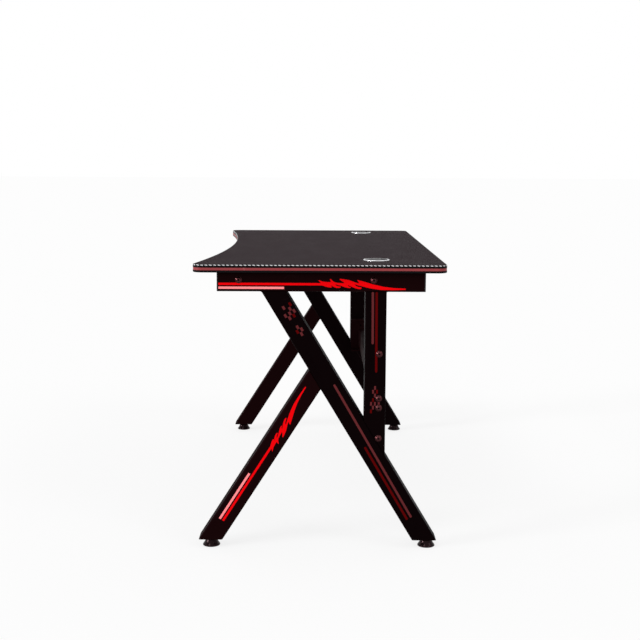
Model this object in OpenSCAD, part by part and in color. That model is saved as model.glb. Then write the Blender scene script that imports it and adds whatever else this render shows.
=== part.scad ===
// Gaming desk with K-shaped steel leg frames.
// +X runs along the desk's length, the user sits on the -Y side, +Z is up.
// The origin lies on the floor, under the middle of the tabletop. Millimetres.

/* [Desk] */
// Length of the tabletop
desk_l = 1400; // [1300:10:1600]
// Depth of the tabletop, from the tips of its front corners to its back edge
desk_w = 650; // [640:5:700]
// Height of the tabletop's upper face above the floor
desk_h = 755; // [735:1:780]
// How far the middle of the front edge is drawn in behind its corner tips
front_dip = 55; // [35:1:60]
// Radius of the tabletop's four corners, seen from above
corner_r = 25; // [15:1:40]

/* [Tabletop layers] */
// Thickness of the board
board_t = 19; // [18:0.5:25]
// Thickness of the laminate on top
laminate_t = 1; // [0.6:0.1:1.5]
// Thickness of the backing sheet underneath
backing_t = 1; // [0.6:0.1:1.5]
// Thickness of the edge band
band_t = 3; // [2.5:0.1:4]
// Radius of the edge band's two rounded lips
lip_r = 2.4; // [1.5:0.1:2.5]
// Height of the coloured strip that is set into the edge band
strip_h = 7; // [6:0.5:9]
// How far the strip's middle lies below the middle of the edge band
strip_drop = 1.4; // [0:0.2:2]
// Depth of the groove that the coloured strip sits in
groove_d = 1.2; // [0.8:0.1:1.5]
// How far the coloured strip stands back from the lips
strip_back = 0.3; // [0.2:0.1:0.5]

/* [Cable grommets] */
// Distance of a grommet's centre from the tabletop's end
grommet_inset = 140; // [130:5:220]
// Distance of a grommet's centre behind the middle of the tabletop
grommet_y = 150; // [120:5:190]
// Diameter of the grommet's flange
flange_d = 70; // [68:1:76]
// Height of the flange above the laminate
flange_h = 2.5; // [2:0.5:6]
// Outer diameter of the liner's sleeve
sleeve_d = 60; // [58:0.5:60]
// Wall of the liner's sleeve
sleeve_wall = 3; // [2.5:0.5:3.5]
// Diameter of the cap that turns in the flange
cap_d = 62; // [61.5:0.5:63]
// Thickness of the cap at its rim
cap_t = 1.5; // [1.5:0.5:3]
// Rise of the cap's middle above its rim
cap_rise = 0.6; // [0.5:0.1:2]
// Width of the cable notch in the cap
notch_w = 24; // [18:1:28]
// Distance from the cap's axis to the inner end of the cable notch
notch_in = 12; // [10:1:15]

/* [Leg frames] */
// Distance from the tabletop's end to the outer face of a leg frame
frame_inset = 19; // [12:1:60]
// Depth of the leg tubes along the desk's length
tube_depth = 60; // [50:1:70]
// Wall of the leg tubes
wall = 2; // [1.5:0.1:3]
// Outer corner radius of the leg tubes
tube_r = 4; // [3:0.5:5]
// Height of the top rail
rail_h = 50; // [46:1:60]
// Length of the top rail over its end plugs
rail_l = 535; // [530:5:560]
// How far the top rail's middle lies behind the middle of the tabletop
rail_shift = 3.5; // [0:0.5:6]
// Thickness of a rail end plug's flange
plug_t = 3; // [2:0.5:4]
// Depth that an end plug reaches into the rail
plug_l = 12; // [8:1:20]
// Width of the long leg's outer face
long_leg_w = 55; // [50:1:58]
// Distance from the middle of the tabletop to the long leg's top, towards the user
long_leg_top = 118; // [105:1:125]
// Width of the short leg's outer face
short_leg_w = 53; // [48:1:58]
// Lean of the short leg from upright, in degrees
short_leg_lean = 32.5; // [31:0.5:34]
// Width of the post's outer face
post_w = 55; // [50:1:58]
// Distance of the post's centre behind the middle of the tabletop
post_y = 144; // [140:1:148]

/* [Levelling feet] */
// Distance of each foot's axis from the middle of the tabletop
foot_y = 286; // [280:1:290]
// How far the long leg's centre line lies inside its foot's axis at the floor end
long_leg_offset = 8; // [4:1:10]
// Height of the leg tubes' lower ends above the floor
foot_h = 24; // [22:1:28]
// Diameter of the bell-shaped glide
glide_d = 46; // [40:1:50]
// Height of the bell-shaped glide
glide_h = 20; // [18:0.5:20.5]
// Diameter of the rubber sole
sole_d = 38; // [30:1:40]
// Thickness of the rubber sole
sole_t = 3; // [2:0.5:3]
// Diameter of the threaded stud
stud_d = 8; // [8:1:10]
// Width of the stud's hexagon across its flats
hex_af = 13; // [13:1:15]
// Thickness of the foot plate
foot_plate_t = 4; // [3:0.5:5]
// Diameter of the threaded bush on the foot plate
bush_d = 15; // [14:0.5:16]
// Height of the threaded bush on the foot plate
bush_h = 14; // [12:1:14]

/* [Beams and crossbar] */
// Height of the beams under the tabletop
beam_h = 40; // [36:1:42]
// Width of the beams under the tabletop
beam_w = 20; // [20:1:30]
// Distance from the middle of the tabletop to the front beam, towards the user
front_beam_y = 208; // [190:1:215]
// Distance of the rear beam behind the middle of the tabletop
rear_beam_y = 138; // [130:1:160]
// Thickness of the threaded plates in the beams' ends
end_plate_t = 6; // [5:0.5:10]
// Height of the crossbar's brackets
bracket_h = 118; // [112:1:125]
// Width of the crossbar's brackets
bracket_w = 50; // [46:1:54]
// Depth of the brackets' flanges
bracket_d = 40; // [25:1:50]
// Thickness of the crossbar's brackets, whose threads hold the bolts
bracket_t = 5; // [4:0.5:6]
// Height of the brackets' middle above the floor
bracket_z = 373; // [368:1:385]
// Height of the crossbar
crossbar_h = 60; // [50:1:64]
// How far the crossbar's middle lies below the brackets' middle
crossbar_drop = 15; // [10:1:18]
// Width of the crossbar
crossbar_w = 20; // [16:1:22]

/* [Fasteners] */
// Diameter of the frame bolts
bolt_d = 8; // [6:1:8]
// Diameter of the frame bolts' flanged heads
bolt_head_d = 17.5; // [15:0.5:18]
// Height of the frame bolts' heads
bolt_head_h = 5; // [4:0.5:6]
// Diameter of the board screws
screw_d = 6; // [5:0.5:6]
// Length of the board screws' shanks
screw_l = 14; // [12:1:16]
// Outer diameter of the threaded inserts in the board
insert_d = 10; // [9:0.5:11]
// Length of the threaded inserts in the board
insert_l = 13; // [10:1:15]
// Distance from the post's centre to its line of bolts
post_bolt_off = 10; // [8:0.5:12]
// Height of the crossbar's upper bolt above the bracket's middle
crossbar_bolt_rise = 33; // [28:1:38]
// Distance between the crossbar's two bolts
crossbar_bolt_pitch = 25; // [22:1:30]
// Height of the post's upper bolt above the crossbar's upper bolt
upper_bolt_rise = 117; // [90:1:130]
// Height of the post's lower bolt above the long leg
lower_bolt_rise = 16; // [14:1:24]
// Distance from a rail to the first screw in a beam
beam_screw_inset = 171; // [100:1:200]

/* [Printed films] */
// Thickness of the printed films
film_t = 0.3; // [0.2:0.1:0.5]
// Width of the narrow stripes
stripe_w = 6; // [4:0.5:7]
// Distance between the middles of a red stripe and the pale one beside it
stripe_pitch = 12.8; // [11:0.1:14]
// Height of the rail's red stripe above the rail's underside
rail_stripe_rise = 19.5; // [17:0.5:21]
// Length of the rail's red stripe, up to its jagged flash
rail_stripe_l = 262; // [200:1:270]
// Length of the rail's pale stripe
rail_pale_l = 168; // [120:1:180]
// Length of the jagged flash on the rail
rail_flash_l = 217; // [180:1:220]
// Distance from the short leg's lower end to its stripes
short_stripe_start = 62; // [50:1:80]
// Length of the short leg's red stripe, up to its jagged flash
short_stripe_l = 234; // [200:1:240]
// Length of the short leg's pale stripe
short_pale_l = 146; // [120:1:160]
// Length of the jagged flash on the short leg
short_flash_l = 186; // [150:1:190]
// Distance from the long leg's top to its first chequer
leg_chequer_start = 49; // [40:1:60]
// Width of a chequer's cell across the leg
leg_cell_w = 6.4; // [5:0.1:6.6]
// Length of a chequer's cell along the leg
leg_cell_l = 10.2; // [8:0.1:11]
// Distance from the long leg's top to its pale stripe
leg_pale_start = 290; // [280:1:320]
// Distance from the long leg's top to its red stripe
leg_red_start = 474; // [440:1:500]
// Distance from the long leg's lower end to its stripes
leg_stripe_end = 75; // [60:1:90]
// Width of a chequer's cell across the post
post_cell_w = 5; // [4:0.1:5.2]
// Length of a chequer's cell along the post
post_cell_l = 10; // [8:0.1:10.5]

/* [Hidden] */
$fn = 48;

// Clearance of a fixed piece in its hole, on the radius
fit = 0.1;
// Clearance between faces that turn or slide past each other
run = 0.05;
// Gap under a part that comes to rest on a stop
stop_gap = 0.3;
// A length that reaches past whatever is cut
far = 3000;

// Heights of the tabletop's layers
top_t = board_t + laminate_t + backing_t;
top_under = desk_h - top_t;
board_under = top_under + backing_t;
groove_low = top_under + (top_t - strip_h) / 2 - strip_drop;
groove_high = groove_low + strip_h;
rail_under = top_under - rail_h;

// The front edge is an arc about a point in front of the desk, met by rounded corners
half_l = desk_l / 2;
half_w = desk_w / 2;
tip_x = half_l - corner_r;
front_r = (tip_x * tip_x + front_dip * front_dip) / (2 * front_dip) - corner_r;
front_cy = front_dip - half_w - front_r;
tip_angle = atan2(corner_r - half_w - front_cy, tip_x);
front_steps = 48;
corner_steps = 8;

// Planes and centres of the leg frames
frame_x = half_l - frame_inset;
frame_mid = frame_x - tube_depth / 2;
frame_in = frame_x - tube_depth;
long_leg_foot = foot_y - long_leg_offset;
long_leg_lean = atan2(long_leg_foot + long_leg_top, rail_under - foot_h);
long_leg_len = (rail_under - foot_h) / cos(long_leg_lean);
rail_tube_l = rail_l - 2 * plug_t;

// Grommets
grommet_x = half_l - grommet_inset;
sleeve_r = sleeve_d / 2;
liner_bore_r = sleeve_r - sleeve_wall;
sleeve_end = top_under + 1;
cap_seat = flange_h - cap_t;
skirt_h = 7;
skirt_t = 1.8;

// Levelling feet, from the floor up
collar_d = stud_d + 6;
collar_h = 3;
collar_z = sole_t + run;
rim_z = 1;
// The glide's bell above its rim, as shares of its radius and its height
glide_bell = [
    [0.995, 0.175], [0.960, 0.250], [0.900, 0.340], [0.835, 0.440], [0.775, 0.560],
    [0.725, 0.690], [0.685, 0.810], [0.655, 0.910], [0.620, 0.970], [0.565, 1],
];
hex_h = 2.5;
hex_z = foot_h - stop_gap - hex_h;
stud_top = foot_h + foot_plate_t + bush_h + 5;

// Beams and bolts
beam_r = tube_r - 1.5;
bolt_hole_r = bolt_d / 2 + 0.25;
bolt_tail = 4;
beam_z = top_under - beam_h / 2;
rail_bolt_l = tube_depth + end_plate_t;
post_bolt_y = post_y + post_bolt_off;
nut_af = bolt_d * 1.625;
nut_h = bolt_d * 0.8;
crossbar_bolt_high = bracket_z + crossbar_bolt_rise;
crossbar_bolt_z = [crossbar_bolt_high, crossbar_bolt_high - crossbar_bolt_pitch];
crossbar_z = bracket_z - crossbar_drop;
crossbar_y = post_y + bracket_w / 2 - crossbar_w / 2;
crossbar_bolt_l = tube_depth + bracket_t;
upper_bolt_z = crossbar_bolt_high + upper_bolt_rise;
// Height of the long leg's upper face where the line of post bolts meets it
leg_face_z = foot_h + (long_leg_foot + long_leg_w / 2 / cos(long_leg_lean) - post_bolt_y) / tan(long_leg_lean);
lower_bolt_z = leg_face_z + lower_bolt_rise;
post_bolt_z = [upper_bolt_z, lower_bolt_z];
post_bolt_l = wall + nut_h + bolt_tail;

// Board screws: along each rail, and along each beam
screw_head_d = 2 * screw_d;
screw_head_h = 3.5;
rail_screw_end = rail_l / 2 - plug_t - plug_l - screw_head_d;
rail_screw_y = [for (k = [-1, -0.23, 0.23, 1]) k * rail_screw_end];
beam_screw_x = [for (k = [-1, -1 / 3, 1 / 3, 1]) k * (frame_in - beam_screw_inset)];
access_d = screw_head_d + 1.5;
screw_places = concat(
    [for (side = [-1, 1], y = rail_screw_y) [side * frame_mid, y + rail_shift]],
    [for (y = [-front_beam_y, rear_beam_y], x = beam_screw_x) [x, y]]
);

// Points of an arc about c, from angle a to angle b
function arc(c, r, a, b, n) =
    [for (i = [0 : n]) let (t = a + (b - a) * i / n) c + r * [cos(t), sin(t)]];

// Outline of a rounded rectangle about the origin
function round_rect(w, h, r, n = 4) = concat(
    arc([w / 2 - r, h / 2 - r], r, 0, 90, n),
    arc([r - w / 2, h / 2 - r], r, 90, 180, n),
    arc([r - w / 2, r - h / 2], r, 180, 270, n),
    arc([w / 2 - r, r - h / 2], r, 270, 360, n)
);

// Outline of the tabletop, drawn in by d all round: back corners, then the front arc
function top_outline(d) = concat(
    arc([tip_x, half_w - corner_r], corner_r - d, 0, 90, corner_steps),
    arc([-tip_x, half_w - corner_r], corner_r - d, 90, 180, corner_steps),
    arc([-tip_x, corner_r - half_w], corner_r - d, 180, 360 - tip_angle, corner_steps),
    arc([0, front_cy], front_r + d, 180 - tip_angle, tip_angle, front_steps),
    arc([tip_x, corner_r - half_w], corner_r - d, 180 + tip_angle, 360, corner_steps)
);

// A closed ring swept along the tabletop's outline; the profile holds [drawn in, height]
module edge_ring(profile) {
    rings = [for (p = profile) top_outline(p[0])];
    n = len(rings[0]);
    m = len(profile);
    polyhedron(
        points = [for (j = [0 : m - 1], q = rings[j]) [q[0], q[1], profile[j][1]]],
        faces = [for (j = [0 : m - 1], i = [0 : n - 1])
            let (a = j * n + i, b = j * n + (i + 1) % n,
                 c = (j + 1) % m * n + (i + 1) % n, d = (j + 1) % m * n + i)
            each [[a, c, b], [a, d, c]]]
    );
}

module both_ends() {
    children();
    mirror([1, 0, 0]) children();
}

// Turns a flat shape to lie on the outer face of the right leg frame: x to +Y, y to +Z
module on_frame_face() {
    translate([frame_x, 0, 0]) rotate([90, 0, 90]) linear_extrude(film_t) children();
}

module screw_holes(d, z, h) {
    for (p = screw_places) translate([p[0], p[1], z]) cylinder(d = d, h = h);
}

// A layer of the tabletop, with its grommet holes
module top_layer(z, t) {
    difference() {
        translate([0, 0, z]) linear_extrude(t) polygon(top_outline(band_t));
        for (side = [-1, 1])
            translate([side * grommet_x, grommet_y, z - 1])
                cylinder(r = sleeve_r + 2 * fit, h = t + 2, $fn = 72);
    }
}

module top_board() {
    color("#6b5a45") difference() {
        top_layer(board_under, board_t);
        screw_holes(insert_d + 2 * fit, board_under - 1, insert_l + 1 + fit);
    }
}

module top_laminate() {
    color("#2b282b") top_layer(desk_h - laminate_t, laminate_t);
}

module backing_sheet() {
    color("#171517") difference() {
        top_layer(top_under, backing_t);
        screw_holes(insert_d + 2 * fit, top_under - 1, backing_t + 2);
    }
}

// The black band: two rounded lips with a groove between them
module edge_band() {
    soft = 0.8;
    color("#0d0c0d") edge_ring(concat(
        [[band_t, top_under]],
        arc([lip_r, top_under + lip_r], lip_r, 270, 180, 5),
        arc([soft, groove_low - soft], soft, 180, 90, 2),
        [[groove_d, groove_low], [groove_d, groove_high]],
        arc([soft, groove_high + soft], soft, 270, 180, 2),
        arc([lip_r, desk_h - lip_r], lip_r, 180, 90, 5),
        [[band_t, desk_h]]
    ));
}

// The coloured strip, slightly crowned, in the band's groove
module edge_strip() {
    color("#96303a") edge_ring([
        [groove_d, groove_low], [groove_d - 0.3, groove_low], [strip_back, groove_low + 1],
        [strip_back - 0.1, (groove_low + groove_high) / 2],
        [strip_back, groove_high - 1], [groove_d - 0.3, groove_high], [groove_d, groove_high]
    ]);
}

module grommet_liner() {
    low = sleeve_end - desk_h;
    color("#b9b9bc") translate([grommet_x, grommet_y, desk_h]) rotate_extrude($fn = 96) polygon(concat(
        [[liner_bore_r, low], [sleeve_r, low], [sleeve_r, 0], [flange_d / 2, 0]],
        arc([flange_d / 2 - 1.5, flange_h - 1.5], 1.5, 0, 90, 4),
        [[cap_d / 2 + fit, flange_h], [cap_d / 2 + fit, cap_seat], [liner_bore_r, cap_seat]]
    ));
}

// The cap lies in the flange, and its skirt guides it in the sleeve
module grommet_cap() {
    skirt_r = liner_bore_r - run;
    rise = arc([0, 0], 1, 90, 60, 4);
    crown = [for (p = rise) [p[0] * cap_d, cap_t + cap_rise * (p[1] - sin(60)) / (1 - sin(60))]];
    color("#1b1a1c") translate([grommet_x, grommet_y, desk_h + cap_seat + run]) difference() {
        rotate_extrude($fn = 96) polygon(concat(
            [[0, 0]], crown,
            [[cap_d / 2, 0], [skirt_r, 0], [skirt_r, -skirt_h], [skirt_r - skirt_t, -skirt_h],
             [skirt_r - skirt_t, 0]]
        ));
        translate([-notch_w / 2, notch_in, -skirt_h - 1]) cube([notch_w, cap_d, skirt_h + cap_t + cap_rise + 2]);
    }
}

// A length of leg tube along +Z, about its own axis; w is its outer face's width
module leg_tube(w, l) {
    linear_extrude(l) difference() {
        polygon(round_rect(tube_depth, w, tube_r));
        polygon(round_rect(tube_depth - 2 * wall, w - 2 * wall, tube_r - wall / 2));
    }
}

// Puts children on the long leg's axis, which leans to the user, starting at its foot end
module on_long_leg() {
    translate([frame_mid, long_leg_foot, foot_h]) rotate([long_leg_lean, 0, 0]) children();
}

module on_short_leg() {
    translate([frame_mid, -foot_y, foot_h]) rotate([-short_leg_lean, 0, 0]) children();
}

// Everything between the leg tubes' lower ends and the underside of the rail
module leg_slab() {
    translate([-far / 2, -far / 2, foot_h]) cube([far, far, rail_under - foot_h]);
}

// The half-space on one side of the long leg: -1 towards the user, 1 towards the back
module beside_long_leg(side) {
    on_long_leg() translate([0, side * (far + long_leg_w) / 2, 0]) cube([far, far, far], center = true);
}

module long_leg() {
    color("#151214") intersection() {
        on_long_leg() translate([0, 0, -long_leg_w]) leg_tube(long_leg_w, long_leg_len + 2 * long_leg_w);
        leg_slab();
    }
}

module short_leg() {
    color("#1d1618") intersection() {
        on_short_leg() translate([0, 0, -short_leg_w]) leg_tube(short_leg_w, long_leg_len);
        leg_slab();
        beside_long_leg(-1);
    }
}

module post() {
    color("#151214") difference() {
        intersection() {
            translate([frame_mid, post_y, foot_h]) leg_tube(post_w, rail_under - foot_h);
            beside_long_leg(1);
        }
        for (z = crossbar_bolt_z)
            translate([frame_in - 1, post_bolt_y, z]) rotate([0, 90, 0])
                cylinder(r = bolt_hole_r, h = tube_depth + 2);
        for (z = post_bolt_z)
            translate([frame_x - wall - 1, post_bolt_y, z]) rotate([0, 90, 0])
                cylinder(r = bolt_hole_r, h = wall + 2);
    }
}

module top_rail() {
    color("#1d1618") difference() {
        translate([frame_mid, rail_shift + rail_tube_l / 2, rail_under + rail_h / 2]) rotate([90, 0, 0])
            linear_extrude(rail_tube_l) difference() {
                polygon(round_rect(tube_depth, rail_h, tube_r));
                polygon(round_rect(tube_depth - 2 * wall, rail_h - 2 * wall, tube_r - wall / 2));
            }
        for (y = [-front_beam_y, rear_beam_y])
            translate([frame_in - 1, y, beam_z]) rotate([0, 90, 0])
                cylinder(r = bolt_hole_r, h = tube_depth + 2);
        screw_holes(screw_d + 4 * fit, top_under - wall - 1, wall + 2);
        screw_holes(access_d, rail_under - 1, wall + 2);
    }
}

module rail_end_plugs() {
    lip = 2 * wall + 2 * fit;
    color("#0f0f10") both_ends() for (end = [-1, 1])
        translate([frame_mid, rail_shift + end * rail_tube_l / 2, rail_under + rail_h / 2])
            rotate([-90 * end, 0, 0]) {
                linear_extrude(plug_t) polygon(round_rect(tube_depth, rail_h, tube_r));
                translate([0, 0, -plug_l]) linear_extrude(plug_l)
                    polygon(round_rect(tube_depth - lip, rail_h - lip, tube_r - wall / 2));
            }
}

// The plates close the legs' lower ends, inside the tubes' walls
module foot_plates() {
    module inside(w) {
        translate([0, 0, -w]) linear_extrude(3 * w)
            polygon(round_rect(tube_depth - 2 * wall, w - 2 * wall, tube_r - wall / 2));
    }
    color("#2a2829") both_ends() difference() {
        intersection() {
            union() {
                on_long_leg() inside(long_leg_w);
                on_short_leg() inside(short_leg_w);
            }
            translate([0, -far / 2, foot_h]) cube([far, far, foot_plate_t]);
        }
        for (y = [-foot_y, foot_y])
            translate([frame_mid, y, foot_h - 1]) cylinder(d = stud_d + 2 * run, h = foot_plate_t + 2);
    }
}

module foot_bushes() {
    color("#8f8f93") both_ends() for (y = [-foot_y, foot_y])
        translate([frame_mid, y, foot_h + foot_plate_t]) difference() {
            cylinder(d = bush_d, h = bush_h);
            translate([0, 0, -1]) cylinder(d = stud_d + 2 * run, h = bush_h + 2);
        }
}

// Puts a foot under one corner of the frames: x_side and y_side are -1 or 1
module at_foot(x_side, y_side) {
    translate([x_side * frame_mid, y_side * foot_y, 0]) children();
}

module stud() {
    color("#9a9a9e") {
        translate([0, 0, collar_z]) cylinder(d = collar_d, h = collar_h);
        translate([0, 0, collar_z]) cylinder(d = stud_d, h = stud_top - collar_z - 1);
        translate([0, 0, stud_top - 1]) cylinder(d1 = stud_d, d2 = stud_d - 2, h = 1);
        translate([0, 0, hex_z]) cylinder(d = hex_af / cos(30), h = hex_h, $fn = 6);
    }
}

module glide() {
    neck_r = stud_d / 2 + run;
    color("#111012") rotate_extrude($fn = 96) polygon(concat(
        [[sole_d / 2 + fit, rim_z], [glide_d / 2 - 1, rim_z], [glide_d / 2, rim_z + 1]],
        [for (p = glide_bell) [glide_d / 2 * p[0], glide_h * p[1]]],
        [[neck_r, glide_h], [neck_r, collar_z + collar_h + run],
         [collar_d / 2 + run, collar_z + collar_h + run], [collar_d / 2 + run, sole_t],
         [sole_d / 2 + fit, sole_t]]
    ));
}

module sole() {
    color("#3a3a3c") cylinder(d = sole_d, h = sole_t, $fn = 72);
}

// A beam under the tabletop, between the two rails
module beam(y) {
    color("#1d1618") difference() {
        translate([-frame_in, y, beam_z]) rotate([90, 0, 90]) linear_extrude(2 * frame_in) difference() {
            polygon(round_rect(beam_w, beam_h, beam_r));
            polygon(round_rect(beam_w - 2 * wall, beam_h - 2 * wall, beam_r - wall / 2));
        }
        screw_holes(screw_d + 4 * fit, top_under - wall - 1, wall + 2);
        screw_holes(access_d, top_under - beam_h - 1, wall + 2);
    }
}

module beam_end_plates() {
    color("#2a2829") both_ends() for (y = [-front_beam_y, rear_beam_y])
        translate([frame_in - end_plate_t, y, beam_z]) rotate([90, 0, 90]) difference() {
            linear_extrude(end_plate_t)
                polygon(round_rect(beam_w - 2 * wall, beam_h - 2 * wall, beam_r - wall / 2));
            translate([0, 0, -1]) cylinder(r = bolt_d / 2 + fit, h = end_plate_t + 2);
        }
}

module crossbar() {
    reach = frame_in - bracket_t;
    color("#1d1618") translate([-reach, crossbar_y, crossbar_z]) rotate([90, 0, 90])
        linear_extrude(2 * reach) difference() {
            polygon(round_rect(crossbar_w, crossbar_h, beam_r));
            polygon(round_rect(crossbar_w - 2 * wall, crossbar_h - 2 * wall, beam_r - wall / 2));
        }
}

// A thick channel on each post's inner face; the crossbar is welded to its web
module crossbar_brackets() {
    color("#1d1618") both_ends()
        translate([frame_in - bracket_d, post_y - bracket_w / 2, bracket_z - bracket_h / 2]) difference() {
            cube([bracket_d, bracket_w, bracket_h]);
            translate([-1, -1, bracket_t])
                cube([bracket_d - bracket_t + 1, bracket_w + 2, bracket_h - 2 * bracket_t]);
            for (z = crossbar_bolt_z)
                translate([bracket_d - bracket_t - 1, post_bolt_off + bracket_w / 2, z - bracket_z + bracket_h / 2])
                    rotate([0, 90, 0]) cylinder(r = bolt_d / 2 + fit, h = bracket_t + 2);
        }
}

// A hexagon nut on the X axis, its outer face at x = 0
module nut() {
    rotate([0, -90, 0]) difference() {
        cylinder(d = nut_af / cos(30), h = nut_h, $fn = 6);
        translate([0, 0, -1]) cylinder(r = bolt_d / 2 + fit, h = nut_h + 2);
    }
}

module post_nuts() {
    color("#8f8f93") both_ends() for (z = post_bolt_z)
        translate([frame_x - wall, post_bolt_y, z]) nut();
}

// A flanged button-head bolt on the X axis: the head's seat is at x = 0, the shank runs to -x
module bolt(l) {
    flange_t = 1;
    dome_r = bolt_head_d * 0.4;
    socket_af = bolt_d * 0.625;
    rotate([0, 90, 0]) {
        difference() {
            rotate_extrude() polygon(concat(
                [[0, 0], [bolt_head_d / 2, 0], [bolt_head_d / 2, flange_t]],
                [for (p = arc([0, 0], 1, 0, 90, 6))
                    [dome_r * (0.45 + 0.55 * p[0]), flange_t + (bolt_head_h - flange_t) * p[1]]],
                [[0, bolt_head_h]]
            ));
            translate([0, 0, bolt_head_h - 2.5]) cylinder(d = socket_af / cos(30), h = 3, $fn = 6);
        }
        translate([0, 0, -l]) cylinder(d = bolt_d, h = l);
    }
}

module rail_bolts() {
    color("#4a3a34") both_ends() for (y = [-front_beam_y, rear_beam_y])
        translate([frame_x, y, beam_z]) bolt(rail_bolt_l);
}

module crossbar_bolts() {
    color("#4a3a34") both_ends() for (z = crossbar_bolt_z)
        translate([frame_x, post_bolt_y, z]) bolt(crossbar_bolt_l);
}

module post_bolts() {
    color("#4a3a34") both_ends() for (z = post_bolt_z)
        translate([frame_x, post_bolt_y, z]) bolt(post_bolt_l);
}

// Screws hang from the tubes' upper walls, heads inside the tubes
module board_screws() {
    color("#8f8f93") for (p = screw_places) translate([p[0], p[1], top_under - wall]) difference() {
        union() {
            translate([0, 0, -screw_head_h]) cylinder(d = screw_head_d, h = screw_head_h);
            cylinder(d = screw_d, h = screw_l);
        }
        translate([0, 0, -screw_head_h - 1]) cylinder(d = 4, h = 3, $fn = 6);
    }
}

module board_inserts() {
    color("#b08d3a") for (p = screw_places) translate([p[0], p[1], board_under]) difference() {
        cylinder(d = insert_d, h = insert_l);
        translate([0, 0, -1]) cylinder(d = screw_d + 2 * fit, h = insert_l + 2);
    }
}

// A straight stripe with round ends, between two points
module stripe(a, b, w = stripe_w) {
    d = b - a;
    translate(a) rotate(atan2(d[1], d[0])) {
        translate([0, -w / 2]) square([norm(d), w]);
        circle(d = w, $fn = 24);
        translate([norm(d), 0]) circle(d = w, $fn = 24);
    }
}

// A stripe along +x from the origin that breaks into barbs and then a long tail
module flash(line_l, flash_l) {
    k = flash_l / 217;
    h = stripe_w / 2;
    polygon(concat(
        [[0, -h], [0, h], [line_l, h]],
        [for (p = [[-7.6, 11], [-2, 9.5], [4, 7.2], [12, 6], [25.5, 5.6],
                   [23.8, 10.5], [23, 13.4], [25.2, 13.7], [28.2, 10.6], [32, 7.2], [37, 4.8],
                   [45, 3.5], [60.3, 2.8], [57.3, 6.3], [52.5, 9.2], [48, 12], [48.6, 14.3],
                   [57, 13.4], [65, 12.2], [73, 10.6], [80, 8], [87, 5.2], [98, 2.3],
                   [96.3, 6.2], [93, 9.4], [94.3, 11.5], [101, 9.4], [111, 6.8], [121, 3.8],
                   [137, -0.9], [161, -6], [185, -9], [217, -10.5],
                   [217, -13.5], [185, -14.5], [153, -14], [134, -11.3], [118.5, -8.3],
                   [111, -6.4], [104, -4.6], [97, -3], [91.4, -1.1], [86.5, 0.3],
                   [88, -2.4], [91.5, -4.8], [97.2, -6.8], [103, -7.6], [104.2, -9.4],
                   [102.6, -11.8], [97, -12], [89.4, -10.3], [81.7, -7.5], [76, -4.8], [68.5, -1.6],
                   [69.6, -3.6], [72, -6], [76.3, -7], [76.8, -8.4], [74, -9.8], [68, -8.9],
                   [62.2, -7.5], [55.4, -5.2], [50.5, -3.6], [44.7, -2], [37, -0.2],
                   [37.6, -1.8], [39.8, -3.6], [44.7, -4.8], [50.6, -5.6], [50.6, -8.3],
                   [45.7, -9.5], [39.8, -9.1], [34, -7.4], [29, -4.7], [24.3, -2.2],
                   [26.2, -3.6], [27.8, -6], [27.4, -8.4], [23.3, -8.2], [16.5, -7.2],
                   [10.6, -5.6], [4, -3.4]])
            [line_l + k * p[0], k * p[1]]],
        [[line_l, -h]]
    ));
}

// Cells of a chequer: cell is [across, along] the leg, and cells count down it
module chequer(cells, cell) {
    for (c = cells) translate([c[0] * cell[0], -c[1] * cell[1]])
        square([cell[0] * 0.98, cell[1] * 0.98], center = true);
}

// The rail's stripes start just inside its front end plug
rail_stripe_y = rail_shift - rail_tube_l / 2 + 1.5;
rail_stripe_z = rail_under + rail_stripe_rise;

module rail_red_film() {
    color("#d4141c") both_ends() on_frame_face() difference() {
        translate([rail_stripe_y, rail_stripe_z]) flash(rail_stripe_l, rail_flash_l);
        for (y = [-front_beam_y, rear_beam_y]) translate([y, beam_z]) circle(d = bolt_head_d + 1);
    }
}

module rail_pale_film() {
    color("#e08a86") both_ends() on_frame_face()
        translate([rail_stripe_y, rail_stripe_z - stripe_pitch + stripe_w / 2 - 3])
            square([rail_pale_l, stripe_w]);
}

// Flat coordinates on the short leg's face: x runs up the leg, y across it to the back
module short_leg_face() {
    on_frame_face() translate([-foot_y, foot_h]) rotate(90 - short_leg_lean) mirror([0, 1]) children();
}

module short_leg_red_film() {
    color("#d4141c") both_ends() short_leg_face() translate([short_stripe_start, 0])
        flash(short_stripe_l, short_flash_l);
}

module short_leg_pale_film() {
    color("#e08a86") both_ends() short_leg_face()
        translate([short_stripe_start, -stripe_pitch]) square([short_pale_l, stripe_w]);
}

// Flat coordinates on the long leg's face: -y runs down the leg from its top, x to the back
module long_leg_face() {
    on_frame_face() translate([-long_leg_top, rail_under]) rotate(long_leg_lean) children();
}

leg_cell = [leg_cell_w, leg_cell_l];
leg_chequer_2 = leg_chequer_start + 6 * leg_cell_l;
leg_stripe_low = long_leg_len - leg_stripe_end;

module long_leg_red_film() {
    color("#6a1418") both_ends() long_leg_face() {
        stripe([-1.1 * stripe_w, -leg_red_start], [-1.6 * stripe_w, -leg_stripe_low]);
        translate([0, -leg_chequer_start]) chequer([[3, 0], [2, 3]], leg_cell);
        translate([0.8 * leg_cell_w, -leg_chequer_2]) chequer([[-1, 1]], leg_cell);
    }
}

module long_leg_pale_film() {
    color("#6e2f33") both_ends() long_leg_face() {
        stripe([1.5 * stripe_w, -leg_pale_start], [0.4 * stripe_w, -leg_stripe_low]);
        translate([0, -leg_chequer_start])
            chequer([[0, 0], [2, 1], [3, 2], [1, 2], [-1, 2], [0, 3]], leg_cell);
        translate([0.8 * leg_cell_w, -leg_chequer_2]) chequer([[0, 0], [1, 1], [0, 2]], leg_cell);
    }
}

// Flat coordinates on the post's face, about its centre line at the crossbar's upper bolt
module post_face() {
    on_frame_face() translate([post_y, crossbar_bolt_high]) children();
}

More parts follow.
